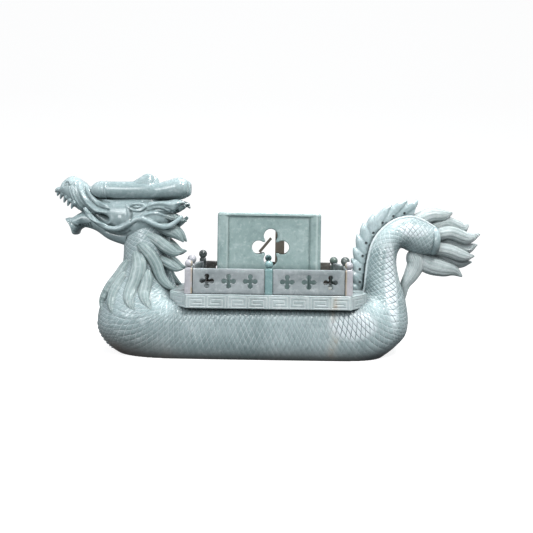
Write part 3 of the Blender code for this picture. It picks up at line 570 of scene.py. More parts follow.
# Where the rings fan out, the scales are made half or twice as often, so that they keep their size
onward = np.linalg.norm(np.gradient(body_rings, axis=0), axis=2)
finer = np.log2(np.maximum(onward / np.gradient(scale_v[:, 0])[:, None], 0.5) / 4.5)
relief = 0.0
for often, low, high in SCALE_STEPS:
    slants = np.stack([scale_u + often * scale_v, scale_u - often * scale_v])
    edge = np.abs(slants % 1 - 0.5).max(axis=0) * 2
    share = smooth_step(low - 0.15, low + 0.15, finer) * smooth_step(high + 0.15, high - 0.15, finer)
    relief = relief + share * SCALE_CUT * (0.7 * (1 - edge**2) - smooth_step(0.72, 1.0, edge))
ends = (0.25 + 0.75 * smooth_step(40, 90, body_length)) * smooth_step(0, 8, body_length[-1] - body_length)
skin_z = body_rings[..., 2]
relief = relief * ends[:, None] * (0.15 + 0.85 * smooth_step(4.0, 18.0, skin_z)) * smooth_step(0.5, 4.0, skin_z)
on_tail = smooth_step(60.0, 80.0, body_rows[:, 0]) * smooth_step(45.0, 75.0, body_rows[:, 1])
relief = relief * (1 - 0.5 * on_tail[:, None])
bare_rings = body_rings
body_rings = bare_rings + ring_normals(bare_rings) * relief[..., None]
body_rings[..., 2] = np.maximum(body_rings[..., 2], 0.0)
chart = np.stack([scale_u, np.broadcast_to(scale_v, scale_u.shape)], axis=2)
body = carved("dragon_body", [shell(body_rings, None, chart)], CELADON)
paint(body.data, "finer", np.append(finer, [0.0, 0.0]))
# Painted shade on the hull's skin just under the overhang of the deck slab, fading towards the ends, kept as
# "shade".
from_middle = np.abs(body_rings[..., 0] - DECK_MIDDLE)
under_deck_shade = smooth_step(*DECK_SHADE_LEVELS, body_rings[..., 2]) * smooth_step(*DECK_SHADE_ENDS, from_middle)
paint(body.data, "shade", np.append(DECK_SHADE * under_deck_shade, [0.0, 0.0]))


# Belly plates. A short ladder of low ribs is left standing under the chest, across the middle of the block.
PLATES = 14
PLATE_SPAN = 17
PLATE_RADIUS = 0.95
PLATES_FROM = 24.0
PLATES_TO = 2.0

half_ring = BODY_SIDES // 2
keel_ends = bare_rings[:, [0, half_ring]]
belly = np.where(keel_ends[:, 0, [0, 2]].sum(axis=1) < keel_ends[:, 1, [0, 2]].sum(axis=1), 0, half_ring)
belly_z = bare_rings[np.arange(BODY_STEPS), belly, 2]
chest = np.flatnonzero((belly_z < PLATES_FROM) & (belly_z > PLATES_TO) & (body_rows[:, 0] < -60))
plate_normals = ring_normals(bare_rings)
plate_turn = 2 * math.pi * np.arange(12) / 12
plates = []
for row in chest[np.linspace(0, len(chest) - 1, PLATES).astype(int)]:
    across = (belly[row] + np.arange(-PLATE_SPAN, PLATE_SPAN + 1)) % BODY_SIDES
    rib = bare_rings[row, across]
    onwards = bare_rings[row + 1, across] - bare_rings[row - 1, across]
    onwards /= np.linalg.norm(onwards, axis=1)[:, None]
    radius = PLATE_RADIUS * np.sqrt(1 - (np.arange(-PLATE_SPAN, PLATE_SPAN + 1) / (PLATE_SPAN + 0.3)) ** 2)
    wave = np.cos(plate_turn)[None, :, None] * plate_normals[row, across][:, None]
    wave = wave + np.sin(plate_turn)[None, :, None] * onwards[:, None]
    plates.append(shell(rib[:, None] + radius[:, None, None] * wave))
carved("belly_plates", plates, CELADON_PLAIN)


# Deck slab. It is left standing from the same block, cut square with clipped corners, and a key fret is
# engraved round its edge: eight rectangular spirals on each long side, one on each clipped corner.
DECK_TOP = 54.2
DECK_THICKNESS = 11.5
DECK_HALF_LENGTH = 83.0
DECK_HALF_WIDTH = 52.0
DECK_CUT_ALONG = 16.5
DECK_CUT_ACROSS = 22.0
DECK_ROUND = 0.9
FRET_CUT = 0.30
FRET_LINE = 0.34
FRET_STEP = 0.36
DECK_INNER = [20.0]
FRET_PATH = [
    (0.07, 0.12), (0.07, 0.88), (0.93, 0.88), (0.93, 0.16), (0.22, 0.16), (0.22, 0.66), (0.78, 0.66),
    (0.78, 0.38), (0.38, 0.38),
]


def to_segments(points, path):
    """Shortest distance from each point of a plane to a run of straight segments."""
    nearest = np.full(points.shape[:-1], 1e9)
    for start, end in zip(path[:-1], path[1:]):
        start = np.asarray(start, dtype=float)
        run = np.asarray(end, dtype=float) - start
        t = np.clip(((points - start) @ run) / (run @ run), 0, 1)
        nearest = np.minimum(nearest, np.linalg.norm(points - start - t[..., None] * run, axis=-1))
    return nearest


x_end, y_end = DECK_HALF_LENGTH, DECK_HALF_WIDTH
quarter = [(x_end, y_end - DECK_CUT_ACROSS), (x_end - DECK_CUT_ALONG, y_end)]
corners = quarter + [(-x, y) for x, y in reversed(quarter)]
corners = np.array(corners + [(-x, -y) for x, y in corners])
face_blocks = [1, 8, 1, 3, 1, 8, 1, 3]
loop, normal_2d, fret_u, blocks = [], [], [], []
for number, (start, end) in enumerate(zip(corners, np.roll(corners, -1, 0))):
    run = end - start
    size = np.linalg.norm(run)
    share = np.arange(0, 1, 1 / max(8, int(size / FRET_STEP)))
    loop.append(start + share[:, None] * run)
    normal_2d.append(np.tile([run[1] / size, -run[0] / size], (len(share), 1)))
    fret_u.append(share * face_blocks[number])
    blocks.append(np.full(len(share), size / face_blocks[number]))
loop = np.vstack(loop)
normal_2d = np.vstack(normal_2d)
fret_u = np.concatenate(fret_u)
block_size = np.concatenate(blocks)
if (normal_2d * loop).sum() < 0:
    normal_2d = -normal_2d
bend = np.linspace(0, math.pi / 2, 5)
rise = np.linspace(DECK_TOP - DECK_ROUND, DECK_TOP - DECK_THICKNESS + DECK_ROUND, 32)
upper, lower = DECK_ROUND * (1 - np.sin(bend)), DECK_ROUND * (1 - np.cos(bend))
inset = np.concatenate([DECK_INNER, upper, np.zeros(30), lower, DECK_INNER])
underside = DECK_TOP - DECK_THICKNESS
level = np.concatenate(
    [[DECK_TOP], DECK_TOP - lower, rise[1:-1], rise[-1] - DECK_ROUND * np.sin(bend), [underside]]
)
fret_v = np.clip((level - underside) / DECK_THICKNESS, 0, 1)
turned = np.where((fret_u.astype(int) % 2) == 1, 1 - fret_u % 1, fret_u % 1)
spots = np.stack(np.broadcast_arrays((turned * block_size)[None], (fret_v * DECK_THICKNESS)[:, None]), axis=-1)
groove = np.full(spots.shape[:2], 1e9)
for size in np.unique(block_size.round(3)):
    on = np.abs(block_size - size) < 0.01
    path = [(u * size, v * DECK_THICKNESS) for u, v in FRET_PATH]
    groove[:, on] = to_segments(spots[:, on], path)
groove = smooth_step(FRET_LINE * 1.6, FRET_LINE * 0.5, groove)
side_only = ((inset < 0.01) * 1.0)[:, None]
depth = inset[:, None] + FRET_CUT * groove * side_only
flat = loop[None] - normal_2d[None] * depth[..., None]
slab_z = np.broadcast_to(level[:, None], depth.shape)
slab_rings = np.stack([flat[..., 0] + DECK_MIDDLE, flat[..., 1], slab_z], axis=2)
DECK_SHADES = ((0.54, 0.63, 0.645), (0.38, 0.455, 0.465), (0.74, 0.79, 0.79))
CELADON_DECK = polished_stone("celadon_stone_deck", *DECK_SHADES, vein=0.054)
carved("deck_slab", [shell(slab_rings, groove * side_only)], CELADON_DECK, sharp=50)


# Mane. Locks of hair stand off the neck and lie down over the chest, each ground as a ridge and then
# drawn over with fine parallel cuts from its root to its tip.
MANE = [
    ([(-109.9, 102.4, 4.0), (-98.7, 97.6, 5.8), (-88.2, 90.0, 5.7), (-80.5, 85.4, 3.9), (-73.5, 85.8, 0.7)],
      15, 12, 6.0),
    ([(-111.2, 93.3, 4.2), (-102.5, 85.7, 5.7), (-95.6, 75.4, 5.7), (-91.3, 64.3, 5.3), (-85.3, 57.4, 3.8),
      (-77.5, 52.6, 0.7)], 19, 19, 6.0),
    ([(-96.0, 81.0, 4.5), (-86.2, 75.4, 5.2), (-79.2, 71.6, 3.5), (-73.2, 70.6, 0.7)], 12, 10, 6.0),
    ([(-100.4, 110.0, 4.3), (-89.6, 106.0, 5.8), (-80.4, 101.8, 4.8), (-73.0, 94.6, 0.7)], 12, 9, 6.0),
    ([(-93.6, 118.8, 4.0), (-82.4, 115.5, 3.8), (-73.2, 113.0, 0.7)], 11, 8, 5.0),
    ([(-113.0, 87.0, 4.2), (-108.6, 76.5, 5.6), (-109.3, 65.0, 5.8), (-112.8, 52.5, 5.2), (-112.0, 44.5, 3.6),
      (-106.0, 37.2, 0.7)], 19, 41, 5.0),
    ([(-104.6, 72.4, 3.6), (-101.6, 63.1, 4.8), (-102.3, 52.1, 4.6), (-98.5, 44.5, 3.2), (-92.4, 38.6, 0.7)],
      22, 43, 4.6),
    ([(-118.6, 79.0, 3.8), (-125.6, 64.6, 5.2), (-133.0, 53.8, 5.0), (-137.6, 43.6, 3.8),
      (-136.4, 35.0, 0.7)], 14, 22, 5.0),
    ([(-119.7, 68.7, 3.4), (-126.1, 55.9, 4.6), (-128.4, 44.8, 3.8), (-125.1, 33.8, 0.7)], 19, 34, 5.0),
]
LOCK_SIDES = 54
LOCK_STEPS = 64
LOCK_CUTS = 11
LOCK_ROOT = 0.13
CHEST_FROM = 20
CHEST_SPREAD = 1.18
CHEST_REACH = 51.8


def strand(points, y_root, y_tip, half, cuts=LOCK_CUTS, cut_depth=0.075, steps=LOCK_STEPS, root=0.0):
    """A tapering strand. Its ring lies square to its path: centre + square * breadth * cos + y * thickness * sin.

    A point is x, z, half breadth and, if it has one, its share of half, the half thickness. Without a y at the
    tip, y_root gives every step's own. The ring is drawn in by cut_depth on evenly spaced lines from root to
    tip, which the chart counts. A share of the length, root, is rounded over: sqrt(1 - (1 - t / root)^2).
    """
    curve = through(points, steps)
    heading = np.gradient(curve[:, :2], axis=0)
    heading /= np.linalg.norm(heading, axis=1)[:, None]
    square = np.stack([-heading[:, 1], heading[:, 0]], axis=1)
    breadth = np.maximum(curve[:, 2], 0.35)
    thickness = half * (curve[:, 3] if curve.shape[1] > 3 else breadth / breadth.max())
    if root:
        rounding = np.sqrt(1 - (1 - np.clip(np.linspace(0.002, 1, steps) / root, 0, 1)) ** 2)
        breadth, thickness = breadth * rounding, thickness * rounding
    y = y_root if y_tip is None else np.linspace(y_root, y_tip, steps)
    angle = 2 * math.pi * np.arange(LOCK_SIDES) / LOCK_SIDES
    line = np.abs(np.cos(cuts * angle / 2 + 0.6)) ** 6
    fade = smooth_step(0.4, 2.4, breadth)[:, None]
    groove = line[None] * fade
    size = 1 - cut_depth * groove
    side = breadth[:, None] * np.cos(angle) * size
    x = curve[:, 0:1] + square[:, 0:1] * side
    z = curve[:, 1:2] + square[:, 1:2] * side
    depth = y[:, None] + thickness[:, None] * np.sin(angle) * size
    fold = cuts * (1 - np.abs(1 - angle / math.pi))
    chart = np.stack(np.broadcast_arrays(fold[None], np.linspace(0, 1, steps)[:, None]), axis=2)
    return shell(np.stack([x, depth, z], axis=2), groove * 0.5, chart)


def on_body(points, steps, sunk):
    """How far out from the middle the hull's skin lies along a path in the side view, less a share sunk in it."""
    path = through(points, steps)[:, :2]
    skin = bare_rings[bare_rings[..., 1] > 0]
    gaps = np.linalg.norm(skin[None, :, [0, 2]] - path[:, None], axis=2)
    nearest = np.argsort(gaps, axis=1)[:, :10]
    return skin[nearest, 1].mean(axis=1) - sunk


for word, side in (("near", -1), ("far", 1)):
    locks = []
    for points, y_root, y_tip, half in MANE:
        reach = np.linspace(y_root, y_tip, LOCK_STEPS)
        if y_tip > CHEST_FROM:
            reach = np.minimum(np.maximum(reach, on_body(points, LOCK_STEPS, 0.25 * half)), CHEST_REACH - half)
            points = [(x, z, breadth * CHEST_SPREAD) for x, z, breadth in points]
        locks.append(strand(points, side * reach, None, half, root=LOCK_ROOT))
    carved(f"mane_{word}", locks, CELADON_HAIR)


# Tail plume, the strand that loops back to the stern, and the ringed cuff that the plume springs from. All
# are of the block's own stone, each strand ground as a ridge, cut with fine lines and left free at its tip.
PLUME = [
    ([(134.0, 116.0, 5.8), (147.0, 121.6, 5.8), (158.5, 121.8, 4.6), (166.8, 124.2, 0.7)], 0, 0, 5.2),
    ([(144.0, 106.7, 5.0), (159.5, 115.0, 5.4), (171.0, 112.6, 4.8), (177.5, 110.6, 4.0),
      (182.8, 113.6, 0.7)], 3, 3, 5.2),
    ([(146.0, 102.0, 5.0), (163.0, 106.4, 5.6), (179.0, 101.8, 5.0), (190.9, 105.4, 0.7)], -2, -2, 5.6),
    ([(146.0, 97.5, 5.0), (165.0, 98.0, 5.8), (180.0, 92.8, 5.2), (190.7, 96.0, 0.7)], 3, 3, 5.6),
    ([(146.0, 93.0, 5.0), (162.0, 90.6, 5.4), (175.6, 85.8, 4.8), (185.8, 85.8, 0.7)], -3, -3, 5.2),
    ([(146.0, 90.0, 4.5), (161.0, 84.4, 5.0), (174.5, 79.2, 4.2), (186.0, 80.2, 0.7)], 3, 3, 5.0),
    ([(133.0, 87.0, 5.0), (144.5, 78.8, 7.8), (157.7, 75.0, 7.2), (168.0, 72.8, 4.8), (176.4, 67.2, 0.7)], 0,
      0, 5.0),
]
PLUME_SPREAD = 1.14
TAIL_STRAND = [
    (130.4, 90.5, 9.0), (134.9, 79.6, 8.3), (131.0, 68.7, 6.8), (125.2, 58.7, 4.6), (123.0, 47.9, 3.2),
    (121.4, 34.4, 1.0),
]
TAIL_CUFF = [
    (147.4, 111.8, 145.6, 86.6, 15.0, 0.5, 2.0),
    (149.6, 112.8, 148.6, 85.2, 16.0, 0.5, 2.0),
    (151.8, 111.6, 151.4, 86.4, 15.0, 0.5, 2.0),
]

plume = []
for points, y_root, y_tip, half in PLUME:
    points = [(x, z, breadth * PLUME_SPREAD) for x, z, breadth in points]
    plume.append(strand(points, y_root, y_tip, half, 12, 0.06))
plume.append(strand(TAIL_STRAND, 0, 0, 6.4, 7, 0.05, root=0.16))
PLUME_SHADES = ((0.60, 0.69, 0.70), (0.43, 0.515, 0.52), (0.80, 0.85, 0.85))
CELADON_PLUME = polished_stone("celadon_stone_plume", *PLUME_SHADES, hair=0.9)
carved("tail_plume", plume, CELADON_PLUME)
carved("tail_cuff", [shell(rings_of(through(TAIL_CUFF, 24), 80))], CELADON_PLAIN)


# Crest of the tail. One blade of stone is ground into ten flames, each over the root of the next, with a
# small hole drilled into each root from either side, and a raised line along the tail on either side.
CREST_ROOT = [
    (87.4, 47.0), (88.4, 68.0), (90.4, 82.4), (94.4, 96.0), (101.6, 107.0), (113.0, 115.8), (131.0, 118.6),
]
CREST_EDGE = [
    (77.4, 48.0), (76.9, 62.4), (77.2, 78.6), (79.6, 93.0), (84.8, 109.3), (96.0, 120.8), (118.0, 132.6),
]
CREST_TIP = (135.2, 134.4)
CREST_HALF = 4.25
CREST_FLAMES = 10
CREST_STEPS = 400
CREST_BLADE = 0.94
FLAME_HALVES = [(3.3, 0.56), (4.6, 0.72), (3.5, 0.82), (0.6, 0.28)]
FLAME_REACH = 1.0
CREST_HOLES = [
    (83.9, 60.8), (83.9, 72.4), (86.4, 84.2), (89.3, 95.9), (95.6, 105.0), (103.7, 114.1), (113.3, 120.2),
    (123.1, 123.0),
]
CREST_HOLE = 1.15
DRILL_DEPTHS = ((-9.0, -4.0, -0.6), (0.6, 4.0, 9.0))
CREST_VOXEL = 0.42
TAIL_LINE = 1.3
TAIL_LINE_ASIDE = 5.6


def fused(obj, voxel, easing, holes=()):
    """Joins the closed skins of an object into one, eases it, and takes the holes' solids out of it.

    Returns its points in millimetres and their normals.
    """
    fuse = obj.modifiers.new("fuse", "REMESH")
    fuse.mode = "VOXEL"
    fuse.voxel_size = voxel * MM
    ease = obj.modifiers.new("ease", "SMOOTH")
    ease.factor = 0.5
    ease.iterations = easing
    for hole in holes:
        drill = obj.modifiers.new("drill", "BOOLEAN")
        drill.operation = "DIFFERENCE"
        drill.solver = "MANIFOLD"
        drill.object = hole
    bpy.context.view_layer.update()
    mesh = bpy.data.meshes.new_from_object(obj.evaluated_get(bpy.context.evaluated_depsgraph_get()))
    obj.modifiers.clear()
    for hole in holes:
        bpy.data.objects.remove(hole)
    mesh.shade_smooth()
    stone = obj.data.materials[0]
    mesh.materials.clear()
    mesh.materials.append(stone)
    obj.data = mesh
    points = np.empty(len(mesh.vertices) * 3, np.float32)
    mesh.vertices.foreach_get("co", points)
    normals = np.empty(len(mesh.vertices) * 3, np.float32)
    mesh.vertices.foreach_get("normal", normals)
    return points.reshape(-1, 3).astype(float) / MM, normals.reshape(-1, 3).astype(float)


def cutter(name, rings):
    """A helper solid that another is cut with."""
    points, quads, triangles, *_ = shell(np.asarray(rings, dtype=float))
    mesh = bpy.data.meshes.new(name)
    mesh.from_pydata((points * MM).tolist(), [], quads.tolist() + triangles.tolist())
    obj = bpy.data.objects.new(name, mesh)
    obj.hide_render = True
    bpy.context.scene.collection.objects.link(obj)
    return obj


root = through([(*point, 0) for point in CREST_ROOT], CREST_STEPS)[:, :2]
rim = through([(*point, 0) for point in [*CREST_EDGE, CREST_TIP]], CREST_STEPS)[:, :2]
outward = rim - root
outward /= np.linalg.norm(outward, axis=1)[:, None]
turn = 2 * math.pi * (np.arange(48) + 0.5) / 48
share = 0.5 + 0.5 * np.cos(turn)
flat = root[:, None] + CREST_BLADE * share[None, :, None] * (rim - root)[:, None]
blade_y = 0.62 * CREST_HALF * np.sin(turn)[None] * (1 - 0.4 * share[None])
blade = np.stack([flat[..., 0], np.broadcast_to(blade_y, flat.shape[:2]), flat[..., 1]], axis=2)
flames = [shell(blade)]
for number in range(CREST_FLAMES):
    path = []
    for ahead, out, (breadth, thick) in zip((-0.25, 0.25, 0.75, 1.16), (0.10, 0.48, 0.80, 1.0), FLAME_HALVES):
        at = int(np.clip((number + ahead) / CREST_FLAMES, 0, 0.999) * CREST_STEPS)
        x, z = root[at] + out * (rim[at] - root[at]) + (FLAME_REACH * outward[at] if out == 1.0 else 0)
        path.append((x, z, breadth, thick))
    flames.append(strand(path, 0, 0, CREST_HALF, 9, 0.05, 40))
CREST_SHADES = ((0.51, 0.62, 0.645), (0.36, 0.46, 0.48), (0.78, 0.85, 0.86))
CELADON_CREST = polished_stone("celadon_stone_crest", *CREST_SHADES)
crest = carved("tail_crest", flames, CELADON_CREST)
drills = []
for (x, z), depths in itertools.product(CREST_HOLES, DRILL_DEPTHS):
    ring = np.stack([x + CREST_HOLE * np.cos(turn), 0 * turn, z + CREST_HOLE * np.sin(turn)], axis=1)
    drills.append(cutter("crest_drill", [ring + [0, y, 0] for y in depths]))
points, normals = fused(crest, CREST_VOXEL, 2, drills)
# Painted shade in and round the drilled holes, kept as "shade".
to_hole = np.min([np.hypot(points[:, 0] - x, points[:, 2] - z) for x, z in CREST_HOLES], axis=0)
painted_hole_shade = smooth_step(CREST_HOLE * 1.35, CREST_HOLE * 0.95, to_hole)
paint(crest.data, "shade", painted_hole_shade)

EDGE_SHADES = ((0.70, 0.79, 0.81), (0.56, 0.66, 0.68), (0.86, 0.90, 0.91))
CELADON_EDGE = polished_stone("celadon_stone_edge", *EDGE_SHADES, recess_shade=0.15)
tail = body_rows[(body_rows[:, 1] > 50) & (body_rows[:, 0] > 60)]
aside = np.array([0.0, 1.0, 0.0])
line_turn = (2 * math.pi * np.arange(16) / 16)[None, :, None]
for word, side in (("near", -1), ("far", 1)):
    lift = np.arcsin(np.clip(TAIL_LINE_ASIDE / tail[:, 4], 0, 1))
    chord = tail[:, 2:4] - tail[:, 0:2]
    spot = tail[:, 0:2] + chord * (0.5 - 0.5 * np.cos(lift))[:, None] * 0.98
    centre = np.stack([spot[:, 0], side * TAIL_LINE_ASIDE * np.ones(len(spot)), spot[:, 1]], axis=1)
    heading = np.gradient(centre, axis=0)
    heading /= np.linalg.norm(heading, axis=1)[:, None]
    across = np.cross(heading, aside)
    line_rings = centre[:, None] + TAIL_LINE * (np.cos(line_turn) * across[:, None] + np.sin(line_turn) * aside)
    carved(f"tail_line_{word}", [shell(line_rings)], CELADON_EDGE)


# Head. Skull, jaw, cheeks, ears and whiskers are ground from the block as one form. Folds, lips, eyelids
# and bands of hair are then cut into it or left standing as ridges.
SKULL_ROWS = [
    (-84.3, 127.6, -87.2, 104.1, 13.0, 0.50, 2.0),
    (-97.5, 134.2, -100.9, 97.3, 19.0, 0.50, 2.2),
    (-112.1, 135.3, -117.1, 94.1, 20.5, 0.50, 2.3),
    (-126.1, 134.2, -130.3, 98.8, 20.0, 0.50, 2.3),
    (-138.8, 133.3, -140.5, 104.6, 18.0, 0.50, 2.3),
    (-148.0, 133.7, -148.9, 110.9, 16.0, 0.50, 2.3),
    (-155.1, 140.4, -157.3, 118.8, 14.0, 0.50, 2.3),
    (-162.6, 145.0, -165.0, 120.0, 13.0, 0.50, 2.3),
    (-168.4, 149.8, -172.0, 124.2, 12.0, 0.50, 2.3),
    (-175.0, 151.9, -178.8, 130.4, 11.0, 0.50, 2.2),
    (-180.4, 148.4, -184.2, 135.0, 9.4, 0.50, 2.2),
    (-182.0, 144.8, -185.4, 135.6, 7.0, 0.50, 2.0),
]
LIP = [(-177.0, 137.2, 3.4), (-182.6, 138.4, 3.3), (-187.3, 139.0, 3.0), (-190.7, 137.4, 0.6)]
GUMS = [(-184.6, 139.0), (-181.2, 135.6), (-177.4, 132.6), (-173.6, 129.6), (-169.4, 127.4)]
JAW_ROWS = [
    (-120.9, 112.9, -124.0, 89.6, 14.0, 0.50, 2.2),
    (-137.7, 113.9, -140.4, 95.2, 13.0, 0.50, 2.2),
    (-149.7, 116.8, -152.0, 102.8, 11.0, 0.50, 2.2),
    (-160.2, 121.0, -161.9, 106.0, 10.0, 0.50, 2.2),
    (-167.0, 119.2, -166.5, 104.6, 10.5, 0.50, 2.2),
    (-173.0, 115.2, -169.6, 101.8, 11.8, 0.50, 2.6),
    (-176.4, 114.8, -170.6, 100.2, 12.6, 0.50, 3.0),
    (-179.0, 114.0, -171.5, 98.8, 13.0, 0.50, 3.4),
]
JAW_HOLLOW = 2.8
WHISKER = [
    (-158.5, 122.9, 1.6), (-152.4, 115.2, 2.2), (-144.0, 108.4, 2.3), (-132.7, 104.2, 2.3),
    (-123.3, 106.5, 2.3), (-113.9, 113.7, 2.3), (-108.2, 115.0, 2.3), (-98.8, 110.2, 2.3),
    (-88.5, 106.6, 2.4), (-81.9, 109.3, 2.3), (-75.4, 115.2, 1.9), (-73.4, 117.2, 1.3),
]
EAR = [
    (-103.0, 125.5, 4.5), (-87.6, 125.2, 5.6), (-79.5, 127.6, 4.6), (-74.4, 128.3, 2.6), (-71.0, 125.0, 0.7),
]
HEAD_VOXEL = 0.54
WHISKER_EASINGS = 40
CHEEK_PAINTED_SHADE = 0.30
CHEEK_SHADE_SPREAD = 80.0
EYE = (-111.4, 18.6, 124.4, 7.0, 2.6, 3.4)
CHEEK = (-126.0, 12.4, 114.0, 10.0, 8.2, 8.8)
NOSTRIL = (-174.0, 8.0, 144.0, 5.0, 3.6, 4.6)

# Carved strokes: path in the side view, half breadth, and height (a cut is negative), all in millimetres
STROKES = [
    ([(-173.8, 145.7), (-173.8, 140.0), (-171.3, 132.5), (-167.3, 125.4), (-162.1, 119.8)], 0.7, 0.6),
    ([(-171.9, 147.2), (-171.6, 140.5), (-169.0, 133.0), (-164.9, 125.9), (-159.9, 120.3)], 0.7, 0.7),
    ([(-169.5, 147.4), (-169.0, 141.0), (-166.5, 133.9), (-162.2, 127.1), (-157.5, 121.7), (-152.8, 118.5)],
      0.7, 0.8),
    ([(-169.8, 143.8), (-167.7, 136.7), (-164.3, 130.2), (-159.9, 124.1), (-155.1, 120.2)], 0.5, -0.7),
    ([(-166.1, 147.1), (-164.5, 140.0), (-160.7, 132.5), (-155.3, 125.5), (-147.7, 120.4), (-141.1, 118.7),
      (-136.4, 117.6)], 1.7, 1.5),
    ([(-162.6, 144.8), (-160.0, 138.2), (-156.2, 132.1), (-150.5, 126.5), (-144.9, 123.5), (-137.3, 121.6)],
      0.7, -1.3),
    ([(-160.5, 144.8), (-157.2, 138.7), (-152.9, 133.1), (-147.7, 128.8), (-141.1, 126.2), (-135.4, 125.8)],
      1.4, 1.3),
    ([(-158.0, 142.6), (-153.7, 136.5), (-149.0, 132.0), (-143.8, 129.3), (-137.6, 128.2)], 0.6, -1.0),
    ([(-155.6, 141.2), (-150.9, 135.6), (-145.2, 131.4), (-138.6, 129.9), (-131.9, 130.0)], 1.1, 0.9),
    ([(-157.8, 117.9), (-152.1, 113.7), (-145.5, 110.5), (-138.9, 109.2), (-135.1, 111.2), (-134.4, 115.0),
      (-136.5, 117.8)], 1.0, 1.0),
    ([(-149.4, 117.5), (-146.1, 116.6), (-143.3, 115.6)], 0.9, -1.8),
    ([(-147.0, 116.8), (-144.8, 116.2), (-141.5, 115.0)], 1.7, -3.0),
    ([(-142.8, 115.4), (-139.8, 113.9)], 2.5, -3.6),
    ([(-119.5, 123.7), (-116.7, 126.2), (-112.5, 127.3), (-108.3, 127.0), (-105.2, 125.2), (-107.3, 122.3),
      (-111.5, 121.1), (-116.2, 121.8), (-119.5, 123.7)], 0.75, 1.2),
    ([(-117.3, 124.0), (-114.3, 125.4), (-111.1, 125.6), (-107.8, 124.9), (-110.1, 123.2), (-113.9, 122.9),
      (-117.3, 124.0)], 0.45, -0.8),
    ([(-117.6, 120.8), (-116.7, 117.0), (-117.6, 112.3)], 0.9, -1.3),
    ([(-122.1, 126.3), (-120.0, 122.2), (-119.3, 117.0), (-121.1, 112.3)], 1.0, 0.7),
    ([(-104.5, 124.8), (-97.0, 127.5), (-90.4, 128.2), (-83.9, 126.7), (-78.0, 129.0), (-73.5, 130.7)], 1.5,
      1.2),
    ([(-103.6, 121.0), (-96.1, 122.6), (-90.4, 122.2), (-84.8, 119.0), (-80.1, 118.1)], 0.8, -1.2),
    ([(-106.9, 116.8), (-99.8, 119.2), (-93.2, 118.9), (-85.7, 116.4), (-79.2, 117.5), (-72.1, 118.9)], 1.3,
      1.2),
    ([(-108.3, 129.4), (-100.7, 130.3), (-92.3, 131.1), (-83.9, 130.6)], 0.7, -1.0),
    ([(-81.5, 122.8), (-79.6, 127.1), (-75.4, 128.5), (-70.7, 129.1)], 1.2, 1.0),
    ([(-75.4, 122.9), (-73.5, 125.7), (-69.8, 125.8)], 2.2, -1.8),
    ([(-88.5, 124.1), (-83.9, 122.5), (-80.6, 121.4)], 0.6, -0.7),
    ([(-178.8, 142.2), (-177.9, 145.1), (-175.3, 145.3), (-174.5, 142.7)], 0.8, -0.9),
    ([(-165.2, 107.9), (-165.4, 105.8), (-165.8, 103.1)], 0.6, -1.5),
    ([(-162.8, 108.1), (-162.8, 106.0), (-163.0, 103.4)], 0.6, -1.5),
    ([(-160.3, 108.5), (-160.2, 106.6), (-160.2, 104.4)], 0.6, -1.5),
    ([(-157.8, 109.0), (-157.5, 107.1), (-157.4, 105.0)], 0.6, -1.5),
    ([(-155.5, 109.8), (-155.0, 107.9), (-154.5, 105.6)], 0.6, -1.5),
    ([(-173.0, 111.1), (-169.2, 107.8), (-165.9, 105.5)], 0.8, -0.7),
    ([(-141.1, 103.1), (-133.5, 100.4), (-125.0, 100.0), (-118.4, 103.4)], 1.0, -0.8),
]


def ellipsoid(x, y, z, half_x, half_y, half_z, rings=22, sides=28):
    """Points x + a sin s cos t, y + b sin s sin t, z + c cos s."""
    s = np.linspace(0.05, math.pi - 0.05, rings)[:, None]
    t = 2 * math.pi * np.arange(sides)[None] / sides
    flat_x, flat_y = np.sin(s) * np.cos(t), np.sin(s) * np.sin(t)
    return np.stack([x + half_x * flat_x, y + half_y * flat_y, z + half_z * np.cos(s) + 0 * t], axis=2)


def whisker_rings(side):
    """A round ridge along the cheek that stands further out where the cheek is widest."""
    curve = through(WHISKER, 90)
    for _ in range(WHISKER_EASINGS):
        curve[1:-1] = (curve[:-2] + 2 * curve[1:-1] + curve[2:]) / 4
    heading = np.gradient(curve[:, :2], axis=0)
    heading /= np.linalg.norm(heading, axis=1)[:, None]
    radius = np.maximum(curve[:, 2], 0.5)
    y = side * (15.6 + 4.6 * np.sin(np.linspace(0.1, 1, len(curve)) * math.pi))
    angle = 2 * math.pi * np.arange(24) / 24
    x = curve[:, 0:1] - heading[:, 1:2] * radius[:, None] * np.cos(angle)
    z = curve[:, 1:2] + heading[:, 0:1] * radius[:, None] * np.cos(angle)
    return np.stack([x, y[:, None] + radius[:, None] * np.sin(angle), z], axis=2)


jaw_rows = through(JAW_ROWS, 80)
jaw_rings = rings_of(jaw_rows, 48)
jaw_up = jaw_rows[:, None, 0:2] - jaw_rows[:, None, 2:4]
jaw_middle = (jaw_rows[:, None, 0:2] + jaw_rows[:, None, 2:4]) / 2
jaw_level = 2 * ((jaw_rings[..., [0, 2]] - jaw_middle) * jaw_up).sum(axis=2) / (jaw_up**2).sum(axis=2)
hollow = JAW_HOLLOW * smooth_step(0.72, 1.0, np.linspace(0, 1, 80))[:, None] * (1 - jaw_level**2)
jaw_rings[..., 0] += 0.9 * hollow
jaw_rings[..., 2] += 0.3 * hollow
forms = [shell(rings_of(through(SKULL_ROWS, 110), 64)), shell(jaw_rings)]
for side in (-1, 1):
    for x, y, z, *halves in (EYE, CHEEK, NOSTRIL):
        forms.append(shell(ellipsoid(x, side * y, z, *halves)))
    forms.append(shell(whisker_rings(side)))
    for number, (x, z) in enumerate(GUMS):
        forms.append(shell(ellipsoid(x, side * (4.6 + 1.3 * number), z, 2.3, 2.4, 2.4)))
    forms.append(strand(EAR, side * 15, side * 15, 4.0, 5, 0.10))
forms.append(strand(LIP, 0, 0, 6.4, 5, 0.0, 40))
head = carved("dragon_head", forms, CELADON_PLAIN)
coordinates, normals = fused(head, HEAD_VOXEL, 3)
